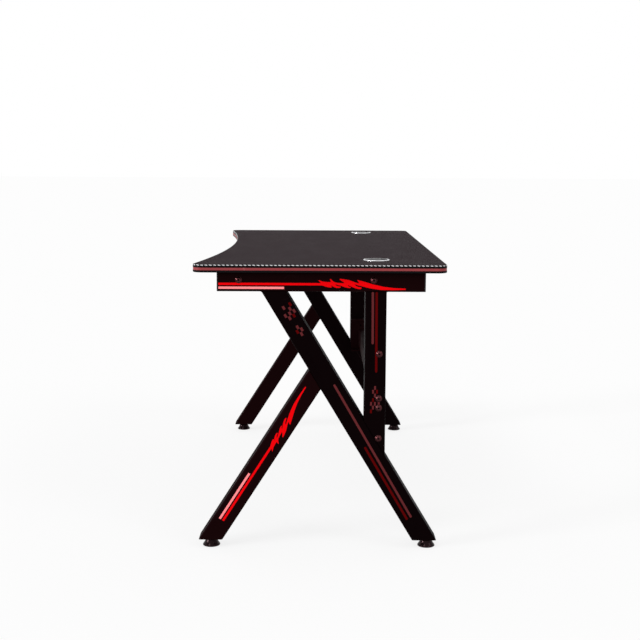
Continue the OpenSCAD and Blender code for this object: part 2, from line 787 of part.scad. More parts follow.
// The film is cut out around the bolts' heads
module clear_of_post_bolts() {
    difference() {
        children();
        for (z = concat(crossbar_bolt_z, post_bolt_z))
            translate([post_bolt_off, z - crossbar_bolt_high]) circle(d = bolt_head_d + 1);
    }
}

// The post's stripes hang from the rail and fill a share of the room above the bolts
post_room = rail_under - crossbar_bolt_high - stripe_w / 2;
post_cell = [post_cell_w, post_cell_l];

module post_red_film() {
    color("#6a1418") both_ends() post_face() clear_of_post_bolts() {
        stripe([0.25 * stripe_w, post_room], [0.4 * stripe_w, 0.26 * post_room]);
        translate([0, 2.8 * post_cell_l]) chequer([[1, 1]], post_cell);
        translate([-post_cell_w, -0.4 * post_cell_l]) chequer([[0, 0], [-1, 3]], post_cell);
    }
}

module post_pale_film() {
    color("#6e2f33") both_ends() post_face() clear_of_post_bolts() {
        stripe([-1.4 * stripe_w, post_room], [-1.25 * stripe_w, 0.53 * post_room]);
        translate([0, 2.8 * post_cell_l]) chequer([[0, 0], [-1, 1], [0, 2]], post_cell);
        translate([-post_cell_w, -0.4 * post_cell_l])
            chequer([[-1, 1], [1, 1], [3, 1], [0, 2]], post_cell);
    }
}

top_board();
top_laminate();
backing_sheet();
edge_band();
edge_strip();
grommet_liner();  // right_grommet_liner
mirror([1, 0, 0]) grommet_liner();  // left_grommet_liner
grommet_cap();  // right_grommet_cap
mirror([1, 0, 0]) grommet_cap();  // left_grommet_cap
top_rail();  // right_top_rail
mirror([1, 0, 0]) top_rail();  // left_top_rail
long_leg();  // right_long_leg
mirror([1, 0, 0]) long_leg();  // left_long_leg
short_leg();  // right_short_leg
mirror([1, 0, 0]) short_leg();  // left_short_leg
post();  // right_post
mirror([1, 0, 0]) post();  // left_post
rail_end_plugs();
foot_plates();
foot_bushes();
at_foot(1, -1) stud();  // right_front_stud
at_foot(1, 1) stud();  // right_rear_stud
at_foot(-1, -1) stud();  // left_front_stud
at_foot(-1, 1) stud();  // left_rear_stud
at_foot(1, -1) glide();  // right_front_glide
at_foot(1, 1) glide();  // right_rear_glide
at_foot(-1, -1) glide();  // left_front_glide
at_foot(-1, 1) glide();  // left_rear_glide
at_foot(1, -1) sole();  // right_front_sole
at_foot(1, 1) sole();  // right_rear_sole
at_foot(-1, -1) sole();  // left_front_sole
at_foot(-1, 1) sole();  // left_rear_sole
beam(-front_beam_y);  // front_beam
beam(rear_beam_y);  // rear_beam
beam_end_plates();
crossbar();
crossbar_brackets();
rail_bolts();
crossbar_bolts();
post_bolts();
post_nuts();
board_screws();
board_inserts();
rail_red_film();
rail_pale_film();
short_leg_red_film();
short_leg_pale_film();
long_leg_red_film();
long_leg_pale_film();
post_red_film();
post_pale_film();
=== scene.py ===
import math

import bmesh
import bpy
from mathutils import Matrix, Vector
from mathutils.kdtree import KDTree


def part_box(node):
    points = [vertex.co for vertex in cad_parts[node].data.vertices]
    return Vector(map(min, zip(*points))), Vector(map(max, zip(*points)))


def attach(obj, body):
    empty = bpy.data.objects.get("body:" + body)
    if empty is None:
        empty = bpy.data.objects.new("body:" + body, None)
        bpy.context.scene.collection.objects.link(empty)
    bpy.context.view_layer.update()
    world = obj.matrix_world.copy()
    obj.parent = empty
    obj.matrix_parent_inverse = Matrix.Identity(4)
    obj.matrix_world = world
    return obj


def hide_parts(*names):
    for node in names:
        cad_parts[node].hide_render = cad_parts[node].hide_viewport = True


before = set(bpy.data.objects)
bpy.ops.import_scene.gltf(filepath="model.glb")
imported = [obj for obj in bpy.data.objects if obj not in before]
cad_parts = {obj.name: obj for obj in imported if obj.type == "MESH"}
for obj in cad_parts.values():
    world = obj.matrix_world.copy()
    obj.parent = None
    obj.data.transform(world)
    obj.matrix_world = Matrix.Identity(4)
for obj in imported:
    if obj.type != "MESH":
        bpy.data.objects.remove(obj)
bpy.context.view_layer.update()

# The board
# A 19 mm particle board, cut to the concave outline and drilled for the grommets and
# the inserts. It is all but hidden between laminate, foil and edge band.


def add(tree, kind, **values):
    """A shader node; a value goes to the socket or the setting of that name."""
    node = tree.nodes.new(kind)
    for key, value in values.items():
        if key in node.inputs:
            node.inputs[key].default_value = value
        else:
            setattr(node, key, value)
    return node


def join(tree, source, target):
    """Links a socket to another, or writes a plain number into it."""
    if isinstance(source, bpy.types.NodeSocket):
        tree.links.new(source, target)
    else:
        target.default_value = source


def calc(tree, operation, *terms):
    """The result of a Math node on sockets or numbers."""
    node = add(tree, "ShaderNodeMath", operation=operation)
    for term, socket in zip(terms, node.inputs):
        join(tree, term, socket)
    return node.outputs[0]


def spread(tree, source, factors):
    """A vector scaled along each of its axes."""
    node = add(tree, "ShaderNodeVectorMath", operation="MULTIPLY")
    join(tree, source, node.inputs[0])
    node.inputs[1].default_value = factors
    return node.outputs[0]


def enlarge(tree, place, scale):
    """A place scaled evenly, by a number or a socket."""
    node = add(tree, "ShaderNodeVectorMath", operation="SCALE")
    join(tree, place, node.inputs[0])
    join(tree, scale, node.inputs["Scale"])
    return node.outputs[0]


def fade(tree, source, low, high, low_value=0.0, high_value=1.0):
    """Runs smoothly from one value to another as the source goes from low to high."""
    node = add(tree, "ShaderNodeMapRange", interpolation_type="SMOOTHSTEP")
    join(tree, source, node.inputs["Value"])
    node.inputs["From Min"].default_value = low
    node.inputs["From Max"].default_value = high
    node.inputs["To Min"].default_value = low_value
    node.inputs["To Max"].default_value = high_value
    return node.outputs["Result"]


def blend(tree, amount, first, second):
    """The first colour, turning into the second as the amount goes to 1."""
    node = add(tree, "ShaderNodeMix", data_type="RGBA")
    join(tree, amount, node.inputs[0])
    for colour, socket in ((first, node.inputs[6]), (second, node.inputs[7])):
        join(tree, colour if isinstance(colour, bpy.types.NodeSocket) else (*colour, 1.0), socket)
    return node.outputs[2]


def noise(tree, place, scale, detail=3.0):
    """A cloudy pattern with that many clouds to the metre."""
    node = add(tree, "ShaderNodeTexNoise", Scale=scale, Detail=detail)
    join(tree, place, node.inputs["Vector"])
    return node.outputs["Fac"]


def surface(name, roughness=0.5, metallic=0.0, specular=0.5, tint=(1.0, 1.0, 1.0)):
    """A material with a Principled shader, and the place on the piece in metres."""
    material = bpy.data.materials.new(name)
    material.use_nodes = True
    tree = material.node_tree
    shader = tree.nodes["Principled BSDF"]
    shader.inputs["Roughness"].default_value = roughness
    shader.inputs["Metallic"].default_value = metallic
    shader.inputs["Specular IOR Level"].default_value = specular
    shader.inputs["Specular Tint"].default_value = (*tint, 1.0)
    place = add(tree, "ShaderNodeTexCoord").outputs["Object"]
    return material, tree, shader, place


def finish(tree, shader, colour, gloss=None, height=None, depth=0.0):
    """Links colour, roughness, and a relief of up to that depth in metres."""
    join(tree, colour, shader.inputs["Base Color"])
    if gloss is not None:
        join(tree, gloss, shader.inputs["Roughness"])
    if height is not None:
        bump = add(tree, "ShaderNodeBump", Strength=1.0, Distance=depth)
        join(tree, height, bump.inputs["Height"])
        join(tree, bump.outputs["Normal"], shader.inputs["Normal"])


def effect(name, takes, gives):
    """A node group with named inputs and outputs, to be used in more than one finish."""
    group = bpy.data.node_groups.new(name, "ShaderNodeTree")
    for label, kind, value in takes:
        socket = group.interface.new_socket(label, in_out="INPUT", socket_type=kind)
        if value is not None:
            socket.default_value = value
    for label in gives:
        group.interface.new_socket(label, in_out="OUTPUT", socket_type="NodeSocketFloat")
    return group, group.nodes.new("NodeGroupInput").outputs, group.nodes.new("NodeGroupOutput").inputs


def use(tree, group, place, **values):
    """Puts an effect in a material, and returns its outputs."""
    node = tree.nodes.new("ShaderNodeGroup")
    node.node_tree = group
    join(tree, place, node.inputs["Place"])
    for key, value in values.items():
        node.inputs[key].default_value = value
    return node.outputs


def dress(material, *nodes):
    """Gives CAD nodes, whose shape stays, their finish."""
    for name in nodes:
        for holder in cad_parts[name].material_slots:
            holder.material = material


VECTOR = "NodeSocketVector"
NUMBER = "NodeSocketFloat"

fine_grain, taken, given = effect(
    "fine grain", [("Place", VECTOR, None), ("Grains", NUMBER, 900.0)], ["Height", "Mottle"]
)
grain_place = enlarge(fine_grain, taken["Place"], taken["Grains"])
join(fine_grain, noise(fine_grain, grain_place, 1.0, 4.0), given["Height"])
join(fine_grain, noise(fine_grain, grain_place, 0.04, 5.0), given["Mottle"])

board_finish, tree, shader, place = surface("particle board", 0.85)
chips = add(tree, "ShaderNodeTexVoronoi", Scale=260.0)
join(tree, spread(tree, place, (0.5, 1.0, 2.2)), chips.inputs["Vector"])
chip_tone = add(tree, "ShaderNodeSeparateColor")
join(tree, chips.outputs["Color"], chip_tone.inputs[0])
dark_chip = blend(tree, chip_tone.outputs[0], (0.30, 0.21, 0.13), (0.55, 0.43, 0.29))
grain = use(tree, fine_grain, place)
board_colour = blend(tree, grain["Mottle"], dark_chip, (0.42, 0.32, 0.21))
chip_height = calc(tree, "ADD", chips.outputs["Distance"], grain["Height"])
finish(tree, shader, board_colour, None, chip_height, 0.0003)
dress(board_finish, "top_board")

# The laminate and the backing foil
# The working surface is a charcoal laminate printed with a woven twill, under a satin
# lacquer with a fine grain. The foil underneath is plain black and keeps the board flat.


def pick(tree, choice, first, second):
    """The first value, or the second where the choice is 1."""
    node = add(tree, "ShaderNodeMix")
    for number, source in ((0, choice), (2, first), (3, second)):
        join(tree, source, node.inputs[number])
    return node.outputs[0]


def grained(name, grains, dark, light, gloss, depth, worn=False, **shine):
    """A mottled finish, whose roughness follows the mottle or the smears of use."""
    material, tree, shader, place = surface(name, **shine)
    grain = use(tree, fine_grain, place, Grains=grains)
    colour = blend(tree, grain["Mottle"], dark, light)
    if worn:
        dull = fade(tree, use(tree, wiped, place)["Smear"], 0.0, 1.0, *gloss)
    else:
        dull = fade(tree, grain["Mottle"], 0.3, 0.7, *gloss)
    finish(tree, shader, colour, dull, grain["Height"], depth)
    return material


weave, taken, given = effect(
    "woven twill",
    [("Place", VECTOR, None), ("Tow", NUMBER, 0.00275)],
    ["Over", "Height", "Fibre"],
)
parts = add(weave, "ShaderNodeSeparateXYZ")
join(weave, taken["Place"], parts.inputs[0])
across = calc(weave, "DIVIDE", parts.outputs[0], taken["Tow"])
along = calc(weave, "DIVIDE", parts.outputs[1], taken["Tow"])
step = calc(weave, "ADD", calc(weave, "FLOOR", across), calc(weave, "FLOOR", along))
over = calc(weave, "LESS_THAN", calc(weave, "FLOORED_MODULO", step, 4.0), 2.0)
bows = []
hairs = []
for way, stretch in ((along, (0.08, 1.0, 1.0)), (across, (1.0, 0.08, 1.0))):
    half_turn = calc(weave, "MULTIPLY", calc(weave, "FRACT", way), math.pi)
    bows.append(calc(weave, "SINE", half_turn))
    hairs.append(noise(weave, spread(weave, taken["Place"], stretch), 2600.0, 2.0))
join(weave, over, given["Over"])
join(weave, pick(weave, over, *bows), given["Height"])
join(weave, pick(weave, over, *hairs), given["Fibre"])

wiped, taken, given = effect("wiped surface", [("Place", VECTOR, None)], ["Smear", "Scratch"])
smears = noise(wiped, spread(wiped, taken["Place"], (1.0, 2.5, 1.0)), 7.0, 5.0)
join(wiped, fade(wiped, smears, 0.35, 0.7), given["Smear"])
scratch_lines = add(
    wiped, "ShaderNodeTexWave", Scale=9.0, Distortion=28.0, Detail=2.0, **{"Detail Scale": 0.5}
)
join(wiped, taken["Place"], scratch_lines.inputs["Vector"])
thin_lines = fade(wiped, scratch_lines.outputs["Fac"], 0.996, 1.0)
broken = fade(wiped, noise(wiped, taken["Place"], 30.0, 2.0), 0.55, 0.65)
join(wiped, calc(wiped, "MULTIPLY", thin_lines, broken), given["Scratch"])

laminate_finish, tree, shader, place = surface(
    "charcoal laminate", specular=0.025, tint=(1.0, 0.75, 0.85)
)
cloth = use(tree, weave, place)
grain = use(tree, fine_grain, place)
wear = use(tree, wiped, place)
tow_colour = blend(tree, cloth["Over"], (0.013, 0.0078, 0.0094), (0.036, 0.0215, 0.0265))
hair_shade = calc(tree, "MULTIPLY", cloth["Fibre"], 0.55)
laminate_colour = blend(tree, hair_shade, tow_colour, (0.008, 0.005, 0.0055))
tow_gloss = calc(tree, "MULTIPLY", cloth["Over"], 0.08)
smear_gloss = fade(tree, wear["Smear"], 0.0, 1.0, 0.76, 0.73)
laminate_gloss = calc(tree, "SUBTRACT", smear_gloss, tow_gloss)
laminate_height = calc(tree, "ADD", calc(tree, "MULTIPLY", cloth["Height"], 0.6), grain["Height"])
finish(tree, shader, laminate_colour, laminate_gloss, laminate_height, 0.00003)
dress(laminate_finish, "top_laminate")

foil_finish = grained(
    "black backing foil", 500.0, (0.012, 0.010, 0.012), (0.028, 0.025, 0.028),
    (0.52, 0.72), 0.00006, specular=0.2,
)
dress(foil_finish, "backing_sheet")

# The edge band
# A black 3 mm plastic band runs round the tabletop, rounded at both lips, with a groove
# between them. Pale slanting dashes along the upper lip follow the woven print, and their paleness is
# painted highlight, the sheen where the lip rounds over.

TOP = 0.755
UNDER = 0.734
HALF_LENGTH = 0.700
HALF_DEPTH = 0.325
CORNER = 0.025
FRONT_DIP = 0.055
BAND = 0.003
LIP_RADIUS = 0.0024
GROOVE_LOW = 0.7396
GROOVE_HIGH = 0.7466
GROOVE_DEPTH = 0.0012
ROUNDING = 0.0006
DASH_MIDDLE = 0.7534
DASH_HALF = 0.0017
DASH_STEP = 0.011
DASH_SLANT = 0.9
DASH_WAIST = 0.34

corner_x = HALF_LENGTH - CORNER
corner_y = HALF_DEPTH - CORNER
front_radius = (corner_x**2 + FRONT_DIP**2) / (2 * FRONT_DIP) - CORNER
front_centre = FRONT_DIP - HALF_DEPTH - front_radius
front_angle = math.atan2(-corner_y - front_centre, corner_x)


def corners_in(geometry):
    """The vertices among what an operator gives back."""
    return [g for g in geometry if isinstance(g, bmesh.types.BMVert)]


def outwards(bm):
    """Turns every face outwards."""
    bmesh.ops.recalc_face_normals(bm, faces=bm.faces[:])


def outline(bm, inset, height):
    """A vertex is spun round the corners and the concave front edge of the tabletop."""
    turns = [
        ((corner_x, corner_y), math.pi / 2, 12),
        ((-corner_x, corner_y), math.pi / 2, 12),
        ((-corner_x, -corner_y), math.pi - front_angle, 14),
        ((0.0, front_centre), 2 * front_angle - math.pi, 64),
        ((corner_x, -corner_y), math.pi - front_angle, 14),
    ]
    pens = [
        Vector((HALF_LENGTH - inset, corner_y, height)),
        Vector((-corner_x, HALF_DEPTH - inset, height)),
        Vector((inset - HALF_LENGTH, -corner_y, height)),
    ]
    tip = None
    for count, (centre, angle, steps) in enumerate(turns):
        if count < 3:
            start = bm.verts.new(pens[count])
            if tip is not None:
                bm.edges.new((tip, start))
            tip = start
        swept = bmesh.ops.spin(
            bm, geom=[tip], cent=(*centre, height), axis=(0, 0, 1), angle=angle, steps=steps
        )
        tip = corners_in(swept["geom_last"])[0]
    bm.verts.ensure_lookup_table()
    bm.edges.new((tip, bm.verts[0]))
    return bm.edges[:]


def slab(inset, low, high):
    """The tabletop's outline, filled and drawn up from one height to another."""
    bm = bmesh.new()
    loop = outline(bm, inset, low)
    bmesh.ops.contextual_create(bm, geom=loop)
    raised = bmesh.ops.extrude_face_region(bm, geom=bm.faces[:])
    bmesh.ops.translate(bm, vec=(0, 0, high - low), verts=corners_in(raised["geom"]))
    outwards(bm)
    return bm


def ends_of(bm):
    """The two faces with the most corners, the flat ends of a slab or a tube."""
    return sorted(bm.faces, key=lambda f: len(f.verts))[-2:]


def level_faces(bm):
    """All the faces that look up or down."""
    return [f for f in bm.faces if abs(f.normal.z) > 0.9]


def open_ends(bm, wall, flats=None):
    """Opens a slab or a tube right through, and leaves a wall of that width."""
    for flat in flats or ends_of(bm):
        bmesh.ops.inset_region(bm, faces=[flat], thickness=wall, use_even_offset=True)
    ends = ends_of(bm)
    rims = [e for f in ends for e in f.edges]
    bmesh.ops.delete(bm, geom=ends, context="FACES_ONLY")
    bmesh.ops.bridge_loops(bm, edges=rims)
    outwards(bm)


def soften(bm, edges, radius, segments=3):
    """Rounds edges over."""
    bmesh.ops.bevel(
        bm, geom=edges, offset=radius, offset_type="OFFSET", segments=segments, profile=0.5,
        affect="EDGES", clamp_overlap=True, material=-1,
    )


def mesh_of(bm, name):
    """Hands a shape over to a new mesh."""
    mesh = bpy.data.meshes.new(name)
    bm.to_mesh(mesh)
    bm.free()
    return mesh


def placed(name, data):
    """A new object in the scene."""
    made = bpy.data.objects.new(name, data)
    bpy.context.scene.collection.objects.link(made)
    return made


def piece(bm, name, material, nodes=(), body="desk", angle=32.0):
    """Makes the finished object, shaded smooth up to that angle between faces."""
    mesh = mesh_of(bm, name)
    mesh.shade_smooth()
    mesh.set_sharp_from_angle(angle=math.radians(angle))
    mesh.materials.append(material)
    made = placed(name, mesh)
    weighted = made.modifiers.new("even shading", "WEIGHTED_NORMAL")
    weighted.keep_sharp = True
    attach(made, body)
    if nodes:
        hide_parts(*nodes)
    return made


def unroll(bm, rim_points):
    """Lays the texture along the rim: across is the way round, up is height and inset."""
    tree = KDTree(len(rim_points))
    for number, (point, _) in enumerate(rim_points):
        tree.insert(point, number)
    tree.balance()
    whole = rim_points[-1][1]
    layer = bm.loops.layers.uv.new("round the edge")
    for face in bm.faces:
        spots = []
        for loop in face.loops:
            flat = Vector((loop.vert.co.x, loop.vert.co.y, 0.0))
            _, number, inset = tree.find(flat)
            spots.append((rim_points[number][1] % whole, loop.vert.co.z + inset))
        highest = max(spot[0] for spot in spots)
        for loop, (way, up) in zip(face.loops, spots):
            if highest - way > whole / 2:
                way += whole
            loop[layer].uv = (way, up)
    return whole


def rim_of_tabletop():
    """The points of the tabletop's outline, each with its distance round the rim."""
    bm = bmesh.new()
    outline(bm, 0.0, 0.0)
    spots = [v.co.copy() for v in bm.verts]
    bm.free()
    spots.append(spots[0])
    points = [(spots[0], 0.0)]
    for first, second in zip(spots, spots[1:]):
        points.append((second, points[-1][1] + (second - first).length))
    return points


rim_points = rim_of_tabletop()
band = slab(0.0, UNDER, TOP)
for height in (GROOVE_LOW, GROOVE_HIGH):
    everything = band.verts[:] + band.edges[:] + band.faces[:]
    bmesh.ops.bisect_plane(band, geom=everything, plane_co=(0, 0, height), plane_no=(0, 0, 1))
groove = [f for f in band.faces if GROOVE_LOW < f.calc_center_median().z < GROOVE_HIGH]
bmesh.ops.inset_region(band, faces=groove, depth=-GROOVE_DEPTH, use_even_offset=True)
lips = []
mouths = []
for edge in band.edges:
    heights = [round(v.co.z, 6) for v in edge.verts]
    if heights[0] != heights[1]:
        continue
    steep = [abs(f.normal.z) for f in edge.link_faces]
    if heights[0] in (TOP, UNDER):
        lips.append(edge)
    elif heights[0] in (GROOVE_LOW, GROOVE_HIGH) and max(steep) > 0.9 and min(steep) < 0.1:
        if edge.calc_face_angle_signed(0.0) > 0:
            mouths.append(edge)
soften(band, lips, LIP_RADIUS, 6)
soften(band, [e for e in mouths if e.is_valid], ROUNDING, 3)
open_ends(band, BAND - LIP_RADIUS, level_faces(band))
rim_length = unroll(band, rim_points)

band_finish, tree, shader, place = surface("black edge band", specular=0.05)
grain = use(tree, fine_grain, place, Grains=1400.0)
round_the_edge = add(tree, "ShaderNodeUVMap", uv_map="round the edge").outputs[0]
spot = add(tree, "ShaderNodeSeparateXYZ")
join(tree, round_the_edge, spot.inputs[0])
# The dashes follow the woven print; their pale colour is painted highlight on the rounded lip.
dash_step = rim_length / round(rim_length / DASH_STEP)
height_in_dash = calc(tree, "SUBTRACT", spot.outputs[1], DASH_MIDDLE)
slant = calc(tree, "MULTIPLY", height_in_dash, DASH_SLANT)
turn = calc(tree, "DIVIDE", calc(tree, "ADD", spot.outputs[0], slant), dash_step)
beat = calc(tree, "PINGPONG", turn, 0.5)
from_middle = calc(tree, "DIVIDE", height_in_dash, DASH_HALF)
waist = calc(tree, "MULTIPLY", from_middle, from_middle)
dash_edge = calc(tree, "SUBTRACT", beat, calc(tree, "MULTIPLY", waist, DASH_WAIST))
painted_dash_highlights = fade(tree, dash_edge, 0.10, 0.16)
hair = noise(tree, spread(tree, round_the_edge, (0.3, 1.0, 1.0)), 2400.0, 2.0)
dash_highlight_colour = blend(tree, hair, (0.72, 0.72, 0.73), (0.40, 0.40, 0.41))
plain_black = blend(tree, grain["Mottle"], (0.002, 0.0015, 0.002), (0.005, 0.004, 0.0045))
band_colour = blend(tree, painted_dash_highlights, plain_black, dash_highlight_colour)
band_gloss = fade(tree, grain["Mottle"], 0.3, 0.7, 0.36, 0.50)
finish(tree, shader, band_colour, band_gloss, grain["Height"], 0.00002)
piece(band, "edge_band_ring", band_finish, ["edge_band"], angle=50.0)

# The strip in the groove
# A strip is pressed into the band's groove, a little behind the lips; its dull red is painted reflection of
# red light along the edge.
# Its outer corners are rounded and it runs right round the tabletop.

STRIP_BACK = 0.0003


def rise(edge):
    """How far an edge climbs."""
    return abs(edge.verts[0].co.z - edge.verts[1].co.z)


strip = slab(STRIP_BACK, GROOVE_LOW, GROOVE_HIGH)
soften(strip, [e for e in strip.edges if rise(e) < 1e-6], ROUNDING, 4)
open_ends(strip, GROOVE_DEPTH - STRIP_BACK - ROUNDING, level_faces(strip))

strip_finish, tree, shader, place = surface("strip in painted red reflection", specular=0.15)
grain = use(tree, fine_grain, place, Grains=1100.0)
wear = use(tree, wiped, place)
# The dull red is painted reflection of red light along the edge; the scratches are real wear.
strip_reflection_colour = blend(tree, grain["Mottle"], (0.22, 0.032, 0.036), (0.28, 0.045, 0.049))
scratched = blend(tree, wear["Scratch"], strip_reflection_colour, (0.45, 0.20, 0.20))
strip_gloss = fade(tree, wear["Smear"], 0.0, 1.0, 0.38, 0.52)
finish(tree, shader, scratched, strip_gloss, grain["Height"], 0.00002)
piece(strip, "edge_strip_ring", strip_finish, ["edge_strip"])

# The grommet liners
# Metallised plastic liners are pressed into the two cable holes. Each has a rounded
# flange on the laminate, a stepped seat for the cap and a sleeve through the board.


def carry(bm, spot, axis=None, angle=math.pi / 2):
    """Turns a shape about an axis through the origin, if one is given, and moves it."""
    if axis:
        turn = Matrix.Rotation(angle, 3, axis)
        bmesh.ops.rotate(bm, cent=(0, 0, 0), matrix=turn, verts=bm.verts[:])
    bmesh.ops.translate(bm, vec=spot, verts=bm.verts[:])


def spun(points, steps, turns=1, **ways):
    """Spins a run of (radius, height) points round the Z axis."""
    bm = bmesh.new()
    corners = [bm.verts.new((radius, 0.0, height)) for radius, height in points]
    for first, second in zip(corners, corners[1:]):
        bm.edges.new((first, second))
    bmesh.ops.spin(
        bm, geom=bm.verts[:] + bm.edges[:], cent=(0, 0, 0), axis=(0, 0, 1),
        angle=2 * math.pi * turns, steps=steps * turns, **ways,
    )
    bmesh.ops.remove_doubles(bm, verts=bm.verts[:], dist=1e-6)
    outwards(bm)
    return bm


def lathe(profile, centre=(0.0, 0.0, 0.0), steps=96):
    """Turns a profile of (radius, height) points on a vertical axis."""
    bm = spun(profile, steps, use_merge=True)
    carry(bm, centre)
    return bm


def rounded(centre, radius, start, end, steps=6):
    """Points of an arc in a profile, between two angles in degrees."""
    angles = [math.radians(start + (end - start) * n / steps) for n in range(steps + 1)]
    return [(centre[0] + radius * math.cos(a), centre[1] + radius * math.sin(a)) for a in angles]


GROMMET_X = 0.560
GROMMET_Y = 0.150
FLANGE_TOP = TOP + 0.0025
CAP_SEAT = TOP + 0.001

silver_finish, tree, shader, place = surface("metallised silver", metallic=1.0)
grain = use(tree, fine_grain, place, Grains=2500.0)
wear = use(tree, wiped, place)
silver_colour = blend(tree, grain["Mottle"], (0.56, 0.56, 0.58), (0.70, 0.70, 0.71))
silver_gloss = fade(tree, wear["Smear"], 0.0, 1.0, 0.22, 0.36)
silver_height = calc(tree, "SUBTRACT", grain["Height"], wear["Scratch"])
finish(tree, shader, silver_colour, silver_gloss, silver_height, 0.00002)

liner_profile = [(0.0270, 0.7352), (0.0272, 0.7350), (0.0298, 0.7350), (0.0300, 0.7352)]
liner_profile += [(0.0300, TOP), (0.0346, TOP), (0.0350, TOP + 0.0004)]
liner_profile += rounded((0.0330, FLANGE_TOP - 0.0020), 0.0020, 0, 90, 8)
liner_profile += rounded((0.0314, FLANGE_TOP - 0.0003), 0.0003, 90, 180, 3)
liner_profile += [(0.0311, CAP_SEAT), (0.0273, CAP_SEAT), (0.0270, CAP_SEAT - 0.0003)]
liner_profile += liner_profile[:1]
grommets = {"right": GROMMET_X, "left": -GROMMET_X}
for side, x in grommets.items():
    liner = lathe(liner_profile, (x, GROMMET_Y, 0.0))
    piece(liner, side + "_grommet_ring", silver_finish, [side + "_grommet_liner"])

# The grommet caps
# A black moulded cap lies in each liner and turns with its skirt in the sleeve. It has a
# shallow groove inside its rim and a notch for the cables, which faces the wall.

CAP_LOW = CAP_SEAT + 0.00005
CAP_RIM = CAP_LOW + 0.0015
CAP_CROWN = CAP_RIM + 0.0006
SKIRT_LOW = CAP_LOW - 0.0070
NOTCH = (0.024, 0.040, 0.030)
NOTCH_MIDDLE_Y = GROMMET_Y + 0.032


def stand_in(bm):
    """A blank object for a modifier to work on."""
    return placed("blank", mesh_of(bm, "blank"))


def worked(*blanks):
    """The first blank's shape after its modifiers; all the blanks are cleared away."""
    shown = blanks[0].evaluated_get(bpy.context.evaluated_depsgraph_get())
    done = bmesh.new()
    done.from_mesh(shown.to_mesh())
    shown.to_mesh_clear()
    for blank in blanks:
        mesh = blank.data
        bpy.data.objects.remove(blank)
        bpy.data.meshes.remove(mesh)
    return done


def carve(bm, cutter):
    """Cuts one closed shape out of another."""
    stock = stand_in(bm)
    tool = stand_in(cutter)
    cut = stock.modifiers.new("cut", "BOOLEAN")
    cut.operation = "DIFFERENCE"
    cut.solver = "EXACT"
    cut.object = tool
    return worked(stock, tool)


def block(size, centre):
    """A plain block, as a cutter or as stock to be worked further."""
    bm = bmesh.new()
    bmesh.ops.create_cube(bm, size=1.0)
    bmesh.ops.scale(bm, vec=size, verts=bm.verts[:])
    carry(bm, centre)
    return bm


cap_finish = grained(
    "moulded black cap", 2200.0, (0.014, 0.013, 0.015), (0.026, 0.024, 0.027),
    (0.42, 0.58), 0.00005, worn=True, specular=0.25,
)

cap_profile = [(0.0, CAP_CROWN), (0.0080, CAP_CROWN - 0.00004), (0.0160, CAP_CROWN - 0.00018)]
cap_profile += [(0.0240, CAP_CROWN - 0.00038), (0.0262, CAP_CROWN - 0.0005)]
cap_profile += [(0.0264, CAP_RIM - 0.0003), (0.0274, CAP_RIM - 0.0003), (0.0276, CAP_RIM + 0.0001)]
cap_profile += rounded((0.0304, CAP_RIM - 0.0006), 0.0006, 90, 0, 4)
cap_profile += [(0.0310, CAP_LOW), (0.02695, CAP_LOW), (0.02695, SKIRT_LOW + 0.0002)]
cap_profile += [(0.0267, SKIRT_LOW), (0.0254, SKIRT_LOW), (0.02515, SKIRT_LOW + 0.0002)]
cap_profile += [(0.02515, CAP_LOW), (0.0, CAP_LOW)]
for side, x in grommets.items():
    cap = lathe(cap_profile, (x, GROMMET_Y, 0.0))
    notch = block(NOTCH, (x, NOTCH_MIDDLE_Y, CAP_LOW))
    upright = [e for e in notch.edges if rise(e) > 0.01 and e.verts[0].co.y < NOTCH_MIDDLE_Y]
    soften(notch, upright, 0.003, 6)
    cap = carve(cap, notch)
    sharp = [e for e in cap.edges if e.is_manifold and e.calc_face_angle(0.0) > 1.2]
    soften(cap, [e for e in sharp if min(v.co.z for v in e.verts) > CAP_LOW], 0.0003, 2)
    piece(
        cap, side + "_grommet_lid", cap_finish,
        [side + "_grommet_cap"], side + "_cap",
    )

# The top rails
# A 60 by 50 mm steel tube lies under each end of the tabletop. Holes in its underside
# let a screwdriver reach the board screws. It is powder coated near-black; the red cast in its colour and
# reflection is painted red light.

FRAME_FACE = 0.681
FRAME_MIDDLE = 0.651
FRAME_INSIDE = 0.621
FRAME_WIDTH = 0.060
RAIL_LOW = 0.684
RAIL_HEIGHT = 0.050
RAIL_Y = 0.0035
RAIL_HALF = 0.2645
RAIL_SCREW_Y = 0.2405
WALL = 0.002
TUBE_CORNER = 0.004
FRONT_BEAM_Y = -0.208
REAR_BEAM_Y = 0.138
DRILL_RADIUS = 0.00675

powder_coat, taken, given = effect(
    "powder coat",
    [("Place", VECTOR, None), ("Peel", NUMBER, 420.0)],
    ["Height", "Fleck", "Cloud"],
)
peel_place = enlarge(powder_coat, taken["Place"], taken["Peel"])
cells = add(powder_coat, "ShaderNodeTexVoronoi", feature="SMOOTH_F1", Scale=0.8)
join(powder_coat, peel_place, cells.inputs["Vector"])
swell = noise(powder_coat, peel_place, 0.5)
join(powder_coat, calc(powder_coat, "ADD", cells.outputs["Distance"], swell), given["Height"])
speck = noise(powder_coat, peel_place, 7.0, 1.0)
join(powder_coat, fade(powder_coat, speck, 0.62, 0.72), given["Fleck"])
join(powder_coat, noise(powder_coat, peel_place, 0.015, 4.0), given["Cloud"])


